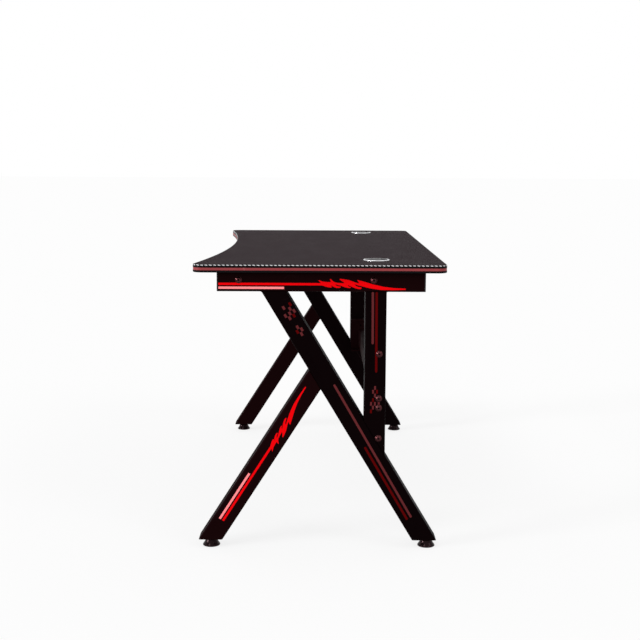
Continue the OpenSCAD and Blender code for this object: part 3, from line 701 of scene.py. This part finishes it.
def coat(name, dark, light, fleck, smooth, rough, specular, tint):
    """A powder-coated steel finish: orange peel, fine flecks, slow change in gloss."""
    # The reddish cast of the colours and the reddish tint of reflections are painted red light.
    material, tree, shader, place = surface(name, specular=specular, tint=tint)
    paint = use(tree, powder_coat, place)
    wear = use(tree, wiped, place)
    colour = blend(tree, paint["Cloud"], dark, light)
    for mark, strength in ((paint["Fleck"], 0.35), (wear["Scratch"], 0.16)):
        colour = blend(tree, calc(tree, "MULTIPLY", mark, strength), colour, fleck)
    gloss = fade(tree, paint["Cloud"], 0.3, 0.7, smooth, rough)
    finish(tree, shader, colour, gloss, paint["Height"], 0.00004)
    return material


satin_coat = coat(
    "satin black coat with painted red cast", (0.0040, 0.0007, 0.0009), (0.0064, 0.0012, 0.0015),
    (0.018, 0.007, 0.008), 0.62, 0.72, 0.028, (1.0, 0.40, 0.45),
)


def tube(width_x, width_y, length, corner=TUBE_CORNER):
    """A closed length of rectangular tube along +Z, its lower end at the origin."""
    bm = block((width_x, width_y, length), (0.0, 0.0, length / 2))
    soften(bm, [e for e in bm.edges if rise(e) > 1e-5], corner, 6)
    return bm


def prism(bm, sides, radii, depth, middle):
    """Adds an upright prism or cylinder, with its lower and its upper radius."""
    bmesh.ops.create_cone(
        bm, cap_ends=True, segments=sides, radius1=radii[0], radius2=radii[1], depth=depth,
        matrix=Matrix.Translation(middle),
    )


def drill(bm, places, height):
    """Drills holes for a screwdriver through the wall at that height."""
    drills = bmesh.new()
    for x, y in places:
        prism(drills, 40, (DRILL_RADIUS, DRILL_RADIUS), 0.02, (x, y, height))
    return carve(bm, drills)


def mirrored(bm):
    """The same shape for the other end of the desk."""
    other = bm.copy()
    bmesh.ops.scale(other, vec=(-1, 1, 1), verts=other.verts[:])
    bmesh.ops.reverse_faces(other, faces=other.faces[:])
    return other


def both_ends(bm, label, material, node=None, angle=32.0):
    """Makes a piece of the right-hand frame and its mirror image at the left-hand end."""
    other = mirrored(bm)
    for side, shape in (("right_", bm), ("left_", other)):
        nodes = [side + node] if node else ()
        piece(shape, side + label, material, nodes, angle=angle)


rail_screws = [(FRAME_MIDDLE, RAIL_Y + RAIL_SCREW_Y * k) for k in (-1, -0.23, 0.23, 1)]
rail = tube(FRAME_WIDTH, RAIL_HEIGHT, 2 * RAIL_HALF)
open_ends(rail, WALL)
carry(rail, (FRAME_MIDDLE, RAIL_Y + RAIL_HALF, RAIL_LOW + RAIL_HEIGHT / 2), "X")
both_ends(drill(rail, rail_screws, RAIL_LOW), "rail_tube", satin_coat, "top_rail")

# The long legs
# A 60 by 55 mm tube leans from the rear foot up to the rail. Its ends are sawn level, and
# its coat is glossier than the rail's. Its darker colour is painted shade, as these faces stand less lit.

FOOT_Z = 0.024
LONG_FOOT_Y = 0.278
LONG_TOP_Y = -0.118
LONG_WIDTH = 0.055
LONG_FOOT = Vector((FRAME_MIDDLE, LONG_FOOT_Y, FOOT_Z))
LONG_LEAN = math.atan2(LONG_FOOT_Y - LONG_TOP_Y, RAIL_LOW - FOOT_Z)
SPARE = 0.06
DRAWN = 0.012

# The rail's coat in darker colours: painted shade, for the long legs and posts.
shaded_gloss_coat = coat(
    "smooth black coat in painted shade", (0.0009, 0.0003, 0.0004), (0.0018, 0.0006, 0.0008),
    (0.010, 0.005, 0.006), 0.50, 0.60, 0.024, (1.0, 0.50, 0.56),
)


def saw(bm, point, normal):
    """Saws off what lies on the normal's side and returns the new end face."""
    everything = bm.verts[:] + bm.edges[:] + bm.faces[:]
    cut = bmesh.ops.bisect_plane(
        bm, geom=everything, plane_co=point, plane_no=normal, clear_outer=True
    )
    edges = [e for e in cut["geom_cut"] if isinstance(e, bmesh.types.BMEdge)]
    return bmesh.ops.contextual_create(bm, geom=edges)["faces"][0]


def draw(bm, end, way, margin=WALL):
    """Insets an end face and draws it inwards, which shows the wall, or out as a spigot."""
    bmesh.ops.inset_region(bm, faces=[end], thickness=margin, use_even_offset=True)
    drawn = bmesh.ops.extrude_face_region(bm, geom=[end])
    bmesh.ops.delete(bm, geom=[end], context="FACES_ONLY")
    bmesh.ops.translate(bm, vec=way * DRAWN, verts=corners_in(drawn["geom"]))
    outwards(bm)


def leaning(width, foot, lean, length):
    """A leg tube that leans about its foot, long enough to be sawn at both ends."""
    bm = tube(FRAME_WIDTH, width, length)
    carry(bm, (0, 0, -SPARE))
    carry(bm, foot, "X", lean)
    return bm


def rim_of(face):
    """The corners of an end face, in order, where a weld runs."""
    return [v.co.copy() for v in face.verts]


long_way = Vector((0.0, -math.sin(LONG_LEAN), math.cos(LONG_LEAN)))
long_across = Vector((0.0, math.cos(LONG_LEAN), math.sin(LONG_LEAN)))
leg = leaning(LONG_WIDTH, LONG_FOOT, LONG_LEAN, 0.90)
weld_loops = [rim_of(saw(leg, (0, 0, RAIL_LOW), (0, 0, 1)))]
draw(leg, saw(leg, (0, 0, FOOT_Z), (0, 0, -1)), long_way)
both_ends(leg, "long_leg_tube", shaded_gloss_coat, "long_leg")

# The short legs
# A 60 by 53 mm tube leans the other way, from the front foot up to the long leg, where
# its end is mitred to the long leg's face and welded.

FOOT_Y = 0.286
SHORT_WIDTH = 0.053
SHORT_FOOT = Vector((FRAME_MIDDLE, -FOOT_Y, FOOT_Z))
SHORT_LEAN = math.radians(-32.5)

short_way = Vector((0.0, -math.sin(SHORT_LEAN), math.cos(SHORT_LEAN)))
front_face = LONG_FOOT - long_across * (LONG_WIDTH / 2)
leg = leaning(SHORT_WIDTH, SHORT_FOOT, SHORT_LEAN, 0.60)
weld_loops.append(rim_of(saw(leg, front_face, long_across)))
draw(leg, saw(leg, (0, 0, FOOT_Z), (0, 0, -1)), short_way)
both_ends(leg, "short_leg_tube", satin_coat, "short_leg")

# The posts
# A 60 by 55 mm tube stands on the long leg's upper face and carries the rail's rear half.
# It is coated like the long leg, and takes the crossbar's bolts.

POST_Y = 0.144
POST_WIDTH = 0.055

rear_face = LONG_FOOT + long_across * (LONG_WIDTH / 2)
post = tube(FRAME_WIDTH, POST_WIDTH, 0.80)
carry(post, (FRAME_MIDDLE, POST_Y, 0.0))
weld_loops.append(rim_of(saw(post, (0, 0, RAIL_LOW), (0, 0, 1))))
weld_loops.append(rim_of(saw(post, rear_face, -long_across)))
outwards(post)
both_ends(post, "post_tube", shaded_gloss_coat, "post")

# The weld beads
# The tubes are joined by fillet welds on their three sides away from the outer face,
# where the seam is ground flush. The beads ripple and lie under the powder coat.

BEAD = 0.0019
BEAD_STEP = 0.004
SEAM = FRAME_FACE - 0.0035

weld_finish, tree, shader, place = surface(
    "coated weld bead", specular=0.05, tint=(1.0, 0.6, 0.65)
)
ripple = noise(tree, place, 520.0, 2.0)
paint = use(tree, powder_coat, place)
weld_colour = blend(tree, ripple, (0.002, 0.0006, 0.0008), (0.006, 0.002, 0.0024))
weld_gloss = fade(tree, paint["Cloud"], 0.3, 0.7, 0.32, 0.46)
finish(tree, shader, weld_colour, weld_gloss, ripple, 0.0006)


def bead_along(bm, points, radius=BEAD):
    """Sweeps a small ring along points by drawing it out and turning it at each one."""
    dense = []
    for first, second in zip(points, points[1:]):
        count = max(1, round((second - first).length / BEAD_STEP))
        dense += [first.lerp(second, n / count) for n in range(count)]
    dense.append(points[-1])
    last = len(dense) - 1
    rings = []
    for number, point in enumerate(dense):
        ahead = dense[min(number + 1, last)] - dense[max(number - 1, 0)]
        turn = ahead.to_track_quat("Z", "X").to_matrix().to_4x4()
        swell = 0.5 if number in (0, last) else 1.0 + 0.10 * math.sin(number * 2.4)
        ring = bmesh.ops.create_circle(
            bm, segments=8, radius=radius * swell, matrix=Matrix.Translation(point) @ turn
        )
        rings.append(list({e: None for v in ring["verts"] for e in v.link_edges}))
    for first, second in zip(rings, rings[1:]):
        bmesh.ops.bridge_loops(bm, edges=first + second)
    for end in (rings[0], rings[-1]):
        bmesh.ops.contextual_create(bm, geom=end)
    outwards(bm)


def weld_path(loop):
    """The part of a joint's rim that is not on the outer face, in one run."""
    inside = [p.x < SEAM for p in loop]
    start = [n for n in range(len(loop)) if inside[n] and not inside[n - 1]][0]
    return [p for p in loop[start:] + loop[:start] if p.x < SEAM]


welds = bmesh.new()
for loop in weld_loops:
    bead_along(welds, weld_path(loop))
both_ends(welds, "frame_welds", weld_finish, angle=60.0)

# The rail end plugs
# Moulded black plugs close the rails' ends. The flange matches the tube outside, with a
# slightly crowned face, and the body is pushed into the bore.

PLUG_FLANGE = 0.003
PLUG_MARGIN = 0.0022

plug_finish = grained(
    "moulded black plug", 1800.0, (0.008, 0.007, 0.008), (0.016, 0.014, 0.016),
    (0.48, 0.62), 0.00004, specular=0.2,
)


def into(target, bm):
    """Adds one shape's faces to another."""
    mesh = mesh_of(bm, "passed on")
    target.from_mesh(mesh)
    bpy.data.meshes.remove(mesh)


plugs = bmesh.new()
for x_side in (1, -1):
    for y_side in (1, -1):
        plug = tube(FRAME_WIDTH, RAIL_HEIGHT, PLUG_FLANGE)
        inner, outer = sorted(ends_of(plug), key=lambda f: f.calc_center_median().z)
        soften(plug, outer.edges[:], 0.0010, 4)
        draw(plug, inner, Vector((0, 0, -1)), PLUG_MARGIN)
        spot = (FRAME_MIDDLE * x_side, RAIL_Y + RAIL_HALF * y_side, RAIL_LOW + RAIL_HEIGHT / 2)
        carry(plug, spot, "X", -math.pi / 2 * y_side)
        into(plugs, plug)
piece(plugs, "rail_plugs", plug_finish, ["rail_end_plugs"])

# The foot plates and bushes
# A 4 mm steel plate closes each leg's lower end, and a zinc-plated threaded bush stands
# on it inside the tube to take the levelling foot's stud.

zinc_finish, tree, shader, place = surface("zinc plate", metallic=1.0)
grain = use(tree, fine_grain, place, Grains=1500.0)
spangle = add(tree, "ShaderNodeTexVoronoi", Scale=420.0)
join(tree, place, spangle.inputs["Vector"])
spangle_tone = add(tree, "ShaderNodeSeparateColor")
join(tree, spangle.outputs["Color"], spangle_tone.inputs[0])
zinc_colour = blend(tree, spangle_tone.outputs[0], (0.46, 0.47, 0.49), (0.62, 0.61, 0.60))
zinc_colour = blend(tree, grain["Mottle"], zinc_colour, (0.60, 0.58, 0.52))
zinc_gloss = fade(tree, spangle_tone.outputs[0], 0.0, 1.0, 0.26, 0.42)
finish(tree, shader, zinc_colour, zinc_gloss, grain["Height"], 0.00002)
dress(satin_coat, "foot_plates")
dress(zinc_finish, "foot_bushes")

# The levelling studs
# A zinc-plated M8 stud screws into each foot plate. Its collar is held in the glide, and
# a thin hexagon between glide and leg takes the spanner that levels the desk.

STUD_LOW = 0.00305
STUD_TOP = 0.047
STUD_CORE = 0.0034
THREAD_RADIUS = 0.0040
THREAD_LOW = 0.0066
THREAD_TURNS = 31
THREAD_STEPS = 24
PITCH = 0.00125

feet = {
    side + end: (x, y)
    for side, x in (("right_", FRAME_MIDDLE), ("left_", -FRAME_MIDDLE))
    for end, y in (("front", -FOOT_Y), ("rear", FOOT_Y))
}
stud_core = [(0.0, STUD_LOW), (0.0067, STUD_LOW), (0.0070, STUD_LOW + 0.0003), (0.0070, 0.0058)]
stud_core += [(0.0067, 0.00605), (STUD_CORE, 0.00605), (STUD_CORE, STUD_TOP - 0.0008)]
stud_core += [(0.0026, STUD_TOP), (0.0, STUD_TOP)]
vee = [(STUD_CORE, 0.0), (THREAD_RADIUS, 0.4), (THREAD_RADIUS, 0.6), (STUD_CORE, 1.0)]
vee = [(radius, THREAD_LOW + PITCH * share) for radius, share in vee]
for name, (x, y) in feet.items():
    stud = lathe(stud_core, steps=48)
    into(stud, spun(vee, THREAD_STEPS, THREAD_TURNS, dvec=(0, 0, PITCH / THREAD_STEPS)))
    hexagon = bmesh.new()
    prism(hexagon, 6, (0.0075, 0.0075), 0.0025, (0, 0, 0.02245))
    soften(hexagon, hexagon.edges[:], 0.0004, 2)
    into(stud, hexagon)
    carry(stud, (x, y, 0.0))
    piece(stud, name + "_threaded_stud", zinc_finish, [name + "_stud"], name + "_screw")

# The glides
# A bell-shaped black plastic glide turns on each stud's collar. It is moulded with a
# polished flank, a rounded rim and a neck round the stud that nearly meets the leg.

glide_finish = grained(
    "polished black glide", 700.0, (0.004, 0.0018, 0.0022), (0.008, 0.004, 0.0045),
    (0.12, 0.26), 0.00002, worn=True, specular=0.13, tint=(1.0, 0.6, 0.65),
)

glide_profile = [(0.0191, 0.0030), (0.0191, 0.0012), (0.0193, 0.0010), (0.0220, 0.0010)]
glide_profile += rounded((0.0220, 0.0020), 0.0010, -80, 0, 4)
glide_profile += [(0.0230, 0.0031), (0.02275, 0.0038), (0.0222, 0.0047), (0.0214, 0.0058)]
glide_profile += [(0.0205, 0.0070), (0.0194, 0.0085), (0.0184, 0.0101), (0.0175, 0.0119), (0.0168, 0.0136)]
glide_profile += [(0.0162, 0.0154), (0.0156, 0.0172), (0.0151, 0.0184), (0.0146, 0.0192), (0.0138, 0.0198)]
glide_profile += [(0.0130, 0.0200), (0.0080, 0.0200), (0.0070, 0.0195), (0.0045, 0.0194), (0.00405, 0.0190)]
glide_profile += [(0.00405, 0.0061), (0.00705, 0.0061), (0.00705, 0.0030), (0.0191, 0.0030)]
for name, (x, y) in feet.items():
    glide = lathe(glide_profile, (x, y, 0.0))
    piece(glide, name + "_bell_glide", glide_finish, [name + "_glide"], name + "_foot")

# The soles
# A dark rubber disc is glued into the underside of each glide and keeps the desk from
# sliding. It has a bevelled edge and two shallow rings underneath.

sole_finish = grained(
    "dark rubber", 1600.0, (0.020, 0.020, 0.021), (0.050, 0.049, 0.050),
    (0.78, 0.92), 0.00012, specular=0.25,
)

sole_profile = [(0.0, 0.0030), (0.0190, 0.0030), (0.0190, 0.0005), (0.0185, 0.0), (0.0152, 0.0)]
sole_profile += [(0.0150, 0.0006), (0.0140, 0.0006), (0.0138, 0.0), (0.0092, 0.0)]
sole_profile += [(0.0090, 0.0006), (0.0080, 0.0006), (0.0078, 0.0), (0.0, 0.0)]
for name, (x, y) in feet.items():
    sole = lathe(sole_profile, (x, y, 0.0), steps=72)
    piece(sole, name + "_rubber_sole", sole_finish, [name + "_sole"], name + "_foot")

# The beams under the tabletop
# Two 40 by 20 mm tubes join the rails under the board. Their underside is drilled for a
# screwdriver, and threaded plates in their ends take the rail bolts.

BEAM_LOW = 0.694
BEAM_HEIGHT = 0.040
BEAM_SCREW_X = 0.450
CROSS_DEPTH = 0.020
CROSS_CORNER = 0.0025


def crosswise(height, half_length, y, z):
    """A closed tube along X, from one end of the desk to the other."""
    bm = tube(height, CROSS_DEPTH, 2 * half_length, CROSS_CORNER)
    carry(bm, (-half_length, y, z), "Y")
    return bm


for name, y in (("front_beam", FRONT_BEAM_Y), ("rear_beam", REAR_BEAM_Y)):
    beam = crosswise(BEAM_HEIGHT, FRAME_INSIDE, y, BEAM_LOW + BEAM_HEIGHT / 2)
    open_ends(beam, WALL)
    beam = drill(beam, [(BEAM_SCREW_X * k, y) for k in (-1, -1 / 3, 1 / 3, 1)], BEAM_LOW)
    piece(beam, name + "_tube", satin_coat, [name])
dress(satin_coat, "beam_end_plates")

# The crossbar and its brackets
# A 60 by 20 mm tube is welded between two channels bent from 5 mm steel. Each channel is
# bolted to the inner face of a post, and stiffens the frames against swaying.

BRACKET_LOW = 0.314
BRACKET_HIGH = 0.432
BRACKET_OUT = 0.581
BRACKET_WIDTH = 0.050
BRACKET_PLATE = 0.005
BRACKET_BEND = 0.006
CROSSBAR_HEIGHT = 0.060
CROSSBAR_Y = 0.159
CROSSBAR_Z = 0.358
BAR_END = FRAME_INSIDE - BRACKET_PLATE


def pair(bm):
    """A shape together with its mirror image at the other end of the desk."""
    both = mirrored(bm)
    into(both, bm)
    return both


crossbar = crosswise(CROSSBAR_HEIGHT, BAR_END, CROSSBAR_Y, CROSSBAR_Z)
piece(crossbar, "crossbar_tube", satin_coat, ["crossbar"])

channel = block(
    (FRAME_INSIDE - BRACKET_OUT, BRACKET_WIDTH, BRACKET_HIGH - BRACKET_LOW),
    ((BRACKET_OUT + FRAME_INSIDE) / 2, POST_Y, (BRACKET_LOW + BRACKET_HIGH) / 2),
)
open_sides = [f for f in channel.faces if f.normal.x < -0.5 or abs(f.normal.y) > 0.5]
bmesh.ops.delete(channel, geom=open_sides, context="FACES_ONLY")
soften(channel, [e for e in channel.edges if not e.is_boundary], BRACKET_BEND, 6)
blank = stand_in(channel)
plate = blank.modifiers.new("plate", "SOLIDIFY")
plate.thickness = BRACKET_PLATE
plate.offset = -1.0
plate.use_even_offset = True
channel = worked(blank)
soften(channel, [e for e in channel.edges if e.calc_face_angle(0.0) > 1.2], 0.0006, 2)
piece(pair(channel), "crossbar_channels", satin_coat, ["crossbar_brackets"])

bar_rim = block((0.0001, CROSS_DEPTH, CROSSBAR_HEIGHT), (BAR_END, CROSSBAR_Y, CROSSBAR_Z))
corners = rim_of([f for f in bar_rim.faces if f.normal.x > 0.5][0])
bar_rim.free()
bar_weld = bmesh.new()
bead_along(bar_weld, corners + corners[:1], 0.0016)
piece(pair(bar_weld), "crossbar_welds", weld_finish, angle=60.0)

# The frame bolts
# M8 button-head bolts with a thin flange and a hexagon socket hold the rails, the crossbar
# and the posts. They are plated black nickel, which looks like dark bronze. The sockets are
# painted near-black: painted shade in the recess.

BOLT_Y = 0.154
HEAD_RADIUS = 0.00875
DOME = 0.0092
DOME_DROP = 0.0038

bolt_finish = grained(
    "black nickel plate", 2600.0, (0.042, 0.013, 0.014), (0.072, 0.023, 0.025),
    (0.15, 0.26), 0.00002, worn=True, metallic=1.0,
)
# The sockets are painted near-black: painted shade in the recess.
shaded_socket_finish, tree, shader, place = surface("socket in painted shade", 0.7, specular=0.05)
grain = use(tree, fine_grain, place, Grains=2600.0)
shaded_socket_colour = blend(tree, grain["Mottle"], (0.0025, 0.0015, 0.0015), (0.007, 0.004, 0.004))
finish(tree, shader, shaded_socket_colour)


def bolt(length):
    """An upright button-head bolt, its seat at the origin."""
    profile = [(0.0, 0.0050), (0.0029, 0.0050)]
    for step in range(1, 11):
        turn = math.radians(17 + 3.6 * step)
        profile.append((DOME * math.sin(turn), DOME * math.cos(turn) - DOME_DROP))
    profile += [(0.0080, 0.0011), (0.00855, 0.0009), (HEAD_RADIUS, 0.0005), (0.0086, 0.0)]
    profile += [(0.0040, 0.0), (0.0040, -length + 0.0008), (0.0032, -length), (0.0, -length)]
    head = lathe(profile, steps=48)
    socket = bmesh.new()
    prism(socket, 6, (0.00285, 0.00290), 0.006, (0, 0, 0.0054))
    bottom = [f for f in socket.faces if f.normal.z < -0.9]
    bmesh.ops.poke(socket, faces=bottom, offset=0.0016)
    head = carve(head, socket)
    # The socket's faces take the second finish, painted shade.
    for face in head.faces:
        middle = face.calc_center_median()
        if 0.0 < middle.z < 0.0049 and math.hypot(middle.x, middle.y) < 0.0030:
            face.material_index = 1
    return head


bolt_places = {
    "rail_bolts": (0.066, [(FRONT_BEAM_Y, 0.714), (REAR_BEAM_Y, 0.714)]),
    "crossbar_bolts": (0.065, [(BOLT_Y, 0.406), (BOLT_Y, 0.381)]),
    "post_bolts": (0.0124, [(BOLT_Y, 0.523), (BOLT_Y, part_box("post_bolts")[0].z + HEAD_RADIUS)]),
}
for name, (length, places) in bolt_places.items():
    bolts = bmesh.new()
    for y, z in places:
        one = bolt(length)
        carry(one, (FRAME_FACE, y, z), "Y")
        into(bolts, pair(one))
    label = name.replace("bolts", "button_heads")
    heads = piece(bolts, label, bolt_finish, [name])
    heads.data.materials.append(shaded_socket_finish)
dress(zinc_finish, "post_nuts")

# The board screws and inserts
# Zinc-plated screws come up through the tubes' upper walls into brass inserts in the
# board. They are seen only through the holes under the rails and beams.

brass_finish = grained(
    "plain brass", 1500.0, (0.55, 0.38, 0.14), (0.72, 0.53, 0.24),
    (0.26, 0.40), 0.00003, metallic=1.0,
)
dress(zinc_finish, "board_screws")
dress(brass_finish, "board_inserts")

# The printed films
# Stripes, jagged flashes and chequers are cut from self-adhesive film and stuck on the
# frames' outer faces: bright red and pale pink. On the long leg and post the same films are
# darker copies, painted shade for faces that stand less lit.

BORDER = 0.0015
BORDER_FLATNESS = 0.16

printed, taken, given = effect("printed film", [("Place", VECTOR, None)], ["Ink", "Height", "Scuff"])
join(printed, noise(printed, taken["Place"], 1800.0, 2.0), given["Ink"])
join(printed, noise(printed, taken["Place"], 260.0, 3.0), given["Height"])
scuffed = noise(printed, spread(printed, taken["Place"], (1.0, 1.0, 5.0)), 60.0, 6.0)
join(printed, fade(printed, scuffed, 0.66, 0.80), given["Scuff"])


def film(name, colour, light, *nodes):
    """A printed film finish: uneven ink, faint orange peel from below, small scuffs."""
    material, tree, shader, place = surface(name, specular=0.02)
    print_marks = use(tree, printed, place)
    ink = blend(tree, calc(tree, "MULTIPLY", print_marks["Ink"], 0.3), colour, light)
    faded = blend(tree, calc(tree, "MULTIPLY", print_marks["Scuff"], 0.25), ink, light)
    gloss = fade(tree, print_marks["Scuff"], 0.0, 1.0, 0.34, 0.55)
    finish(tree, shader, faded, gloss, print_marks["Height"], 0.00004)
    dress(material, *nodes)


film("bright red film", (0.75, 0.0, 0.002), (0.84, 0.002, 0.004), "rail_red_film", "short_leg_red_film")
film("pale pink film", (0.97, 0.24, 0.25), (1.0, 0.34, 0.34), "rail_pale_film", "short_leg_pale_film")
# The long leg's and post's films are the bright ones darkened: painted shade.
film("red film in painted shade", (0.078, 0.0002, 0.0004), (0.104, 0.001, 0.0015), "long_leg_red_film", "post_red_film")
film("pink film in painted shade", (0.100, 0.016, 0.018), (0.130, 0.026, 0.028), "long_leg_pale_film", "post_pale_film")

border_finish, tree, shader, place = surface("black film border", specular=0.02)
print_marks = use(tree, printed, place)
border_colour = blend(tree, print_marks["Ink"], (0.0008, 0.0008, 0.0008), (0.0025, 0.002, 0.002))
finish(tree, shader, border_colour, fade(tree, print_marks["Scuff"], 0.0, 1.0, 0.40, 0.55))

for node in ("rail_red_film", "short_leg_red_film"):
    bm = bmesh.new()
    bm.from_mesh(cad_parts[node].data)
    bmesh.ops.remove_doubles(bm, verts=bm.verts[:], dist=1e-6)
    walls = [
        f for f in bm.faces
        if abs(f.normal.x) < 0.5 or abs(f.calc_center_median().x) > FRAME_FACE + 0.0001
    ]
    bmesh.ops.delete(bm, geom=walls, context="FACES")
    inner = [e for e in bm.edges if not e.is_boundary]
    bmesh.ops.delete(bm, geom=bm.faces[:], context="FACES_ONLY")
    bmesh.ops.delete(bm, geom=[e for e in inner if e.is_valid], context="EDGES")
    line = placed(node + "_border", mesh_of(bm, node + "_border"))
    bpy.ops.object.select_all(action="DESELECT")
    line.select_set(True)
    bpy.context.view_layer.objects.active = line
    bpy.ops.object.convert(target="CURVE")
    line.data.bevel_depth = BORDER
    line.data.bevel_resolution = 1
    bpy.ops.object.convert(target="MESH")
    for corner in line.data.vertices:
        out = FRAME_FACE + (abs(corner.co.x) - FRAME_FACE) * BORDER_FLATNESS
        corner.co.x = math.copysign(out, corner.co.x)
    line.data.materials.append(border_finish)
    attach(line, "desk")

# The room
# A plain pale floor and soft, even studio light. The floor keeps the desk's shadow, and is
# clear from below, so that the underside can be looked at.


def seen_directly(tree):
    """1 for what the camera sees itself, mirrored or through glass, and 0 for light."""
    ray = add(tree, "ShaderNodeLightPath").outputs
    seen = calc(tree, "ADD", ray["Is Camera Ray"], ray["Is Glossy Ray"])
    return calc(tree, "MINIMUM", calc(tree, "ADD", seen, ray["Is Transmission Ray"]), 1.0)


floor_shape = bmesh.new()
bmesh.ops.create_grid(floor_shape, x_segments=1, y_segments=1, size=60.0)
floor = placed("floor", mesh_of(floor_shape, "floor"))
floor_finish, tree, shader, place = surface("pale floor", 0.9, specular=0.0)
shader.inputs["Base Color"].default_value = (0.96, 0.96, 0.96, 1.0)
glow = add(tree, "ShaderNodeEmission", Color=(1.0, 1.0, 1.0, 1.0), Strength=1.0)
lit = add(tree, "ShaderNodeMixShader")
join(tree, calc(tree, "MULTIPLY", seen_directly(tree), 0.80), lit.inputs[0])
join(tree, shader.outputs[0], lit.inputs[1])
join(tree, glow.outputs[0], lit.inputs[2])
clear = add(tree, "ShaderNodeBsdfTransparent")
sided = add(tree, "ShaderNodeMixShader")
join(tree, add(tree, "ShaderNodeNewGeometry").outputs["Backfacing"], sided.inputs[0])
join(tree, lit.outputs[0], sided.inputs[1])
join(tree, clear.outputs[0], sided.inputs[2])
join(tree, sided.outputs[0], tree.nodes["Material Output"].inputs["Surface"])
floor.data.materials.append(floor_finish)

world = bpy.data.worlds.new("studio")
bpy.context.scene.world = world
world.use_nodes = True
tree = world.node_tree
sky = tree.nodes["Background"]
sky.inputs["Color"].default_value = (1.0, 1.0, 1.0, 1.0)
join(tree, fade(tree, seen_directly(tree), 0.0, 1.0, 0.62, 1.0), sky.inputs["Strength"])

for name, direction, power, softness in (
    ("key", (-1.0, 0.7, -1.5), 0.4, 16.0),
    ("side", (-0.40, 0.95, -0.22), 2.3, 17.0),
    ("fill", (-0.7, -1.1, -1.0), 0.4, 24.0),
):
    lamp = placed(name, bpy.data.lights.new(name, "SUN"))
    lamp.data.energy = power
    lamp.data.angle = math.radians(softness)
    lamp.rotation_mode = "QUATERNION"
    lamp.rotation_quaternion = Vector(direction).to_track_quat("-Z", "Y")

# The camera
# It looks at the desk's right-hand end from three metres away, a little from above, and
# takes in the whole desk as the photograph does.

camera = placed("camera", bpy.data.cameras.new("camera"))
camera.data.sensor_width = 36.0
camera.data.lens = 63.12
ahead = Vector((-0.989907, 0.001266, -0.141715)).normalized()
right = Vector((0.000651, 0.999990, 0.004388)).normalized()
up = right.cross(ahead)
camera.matrix_world = Matrix((
    (right.x, up.x, -ahead.x, 3.5326),
    (right.y, up.y, -ahead.y, -0.0030),
    (right.z, up.z, -ahead.z, 1.0194),
    (0.0, 0.0, 0.0, 1.0),
))
bpy.context.scene.camera = camera
bpy.context.scene.view_settings.view_transform = "Standard"
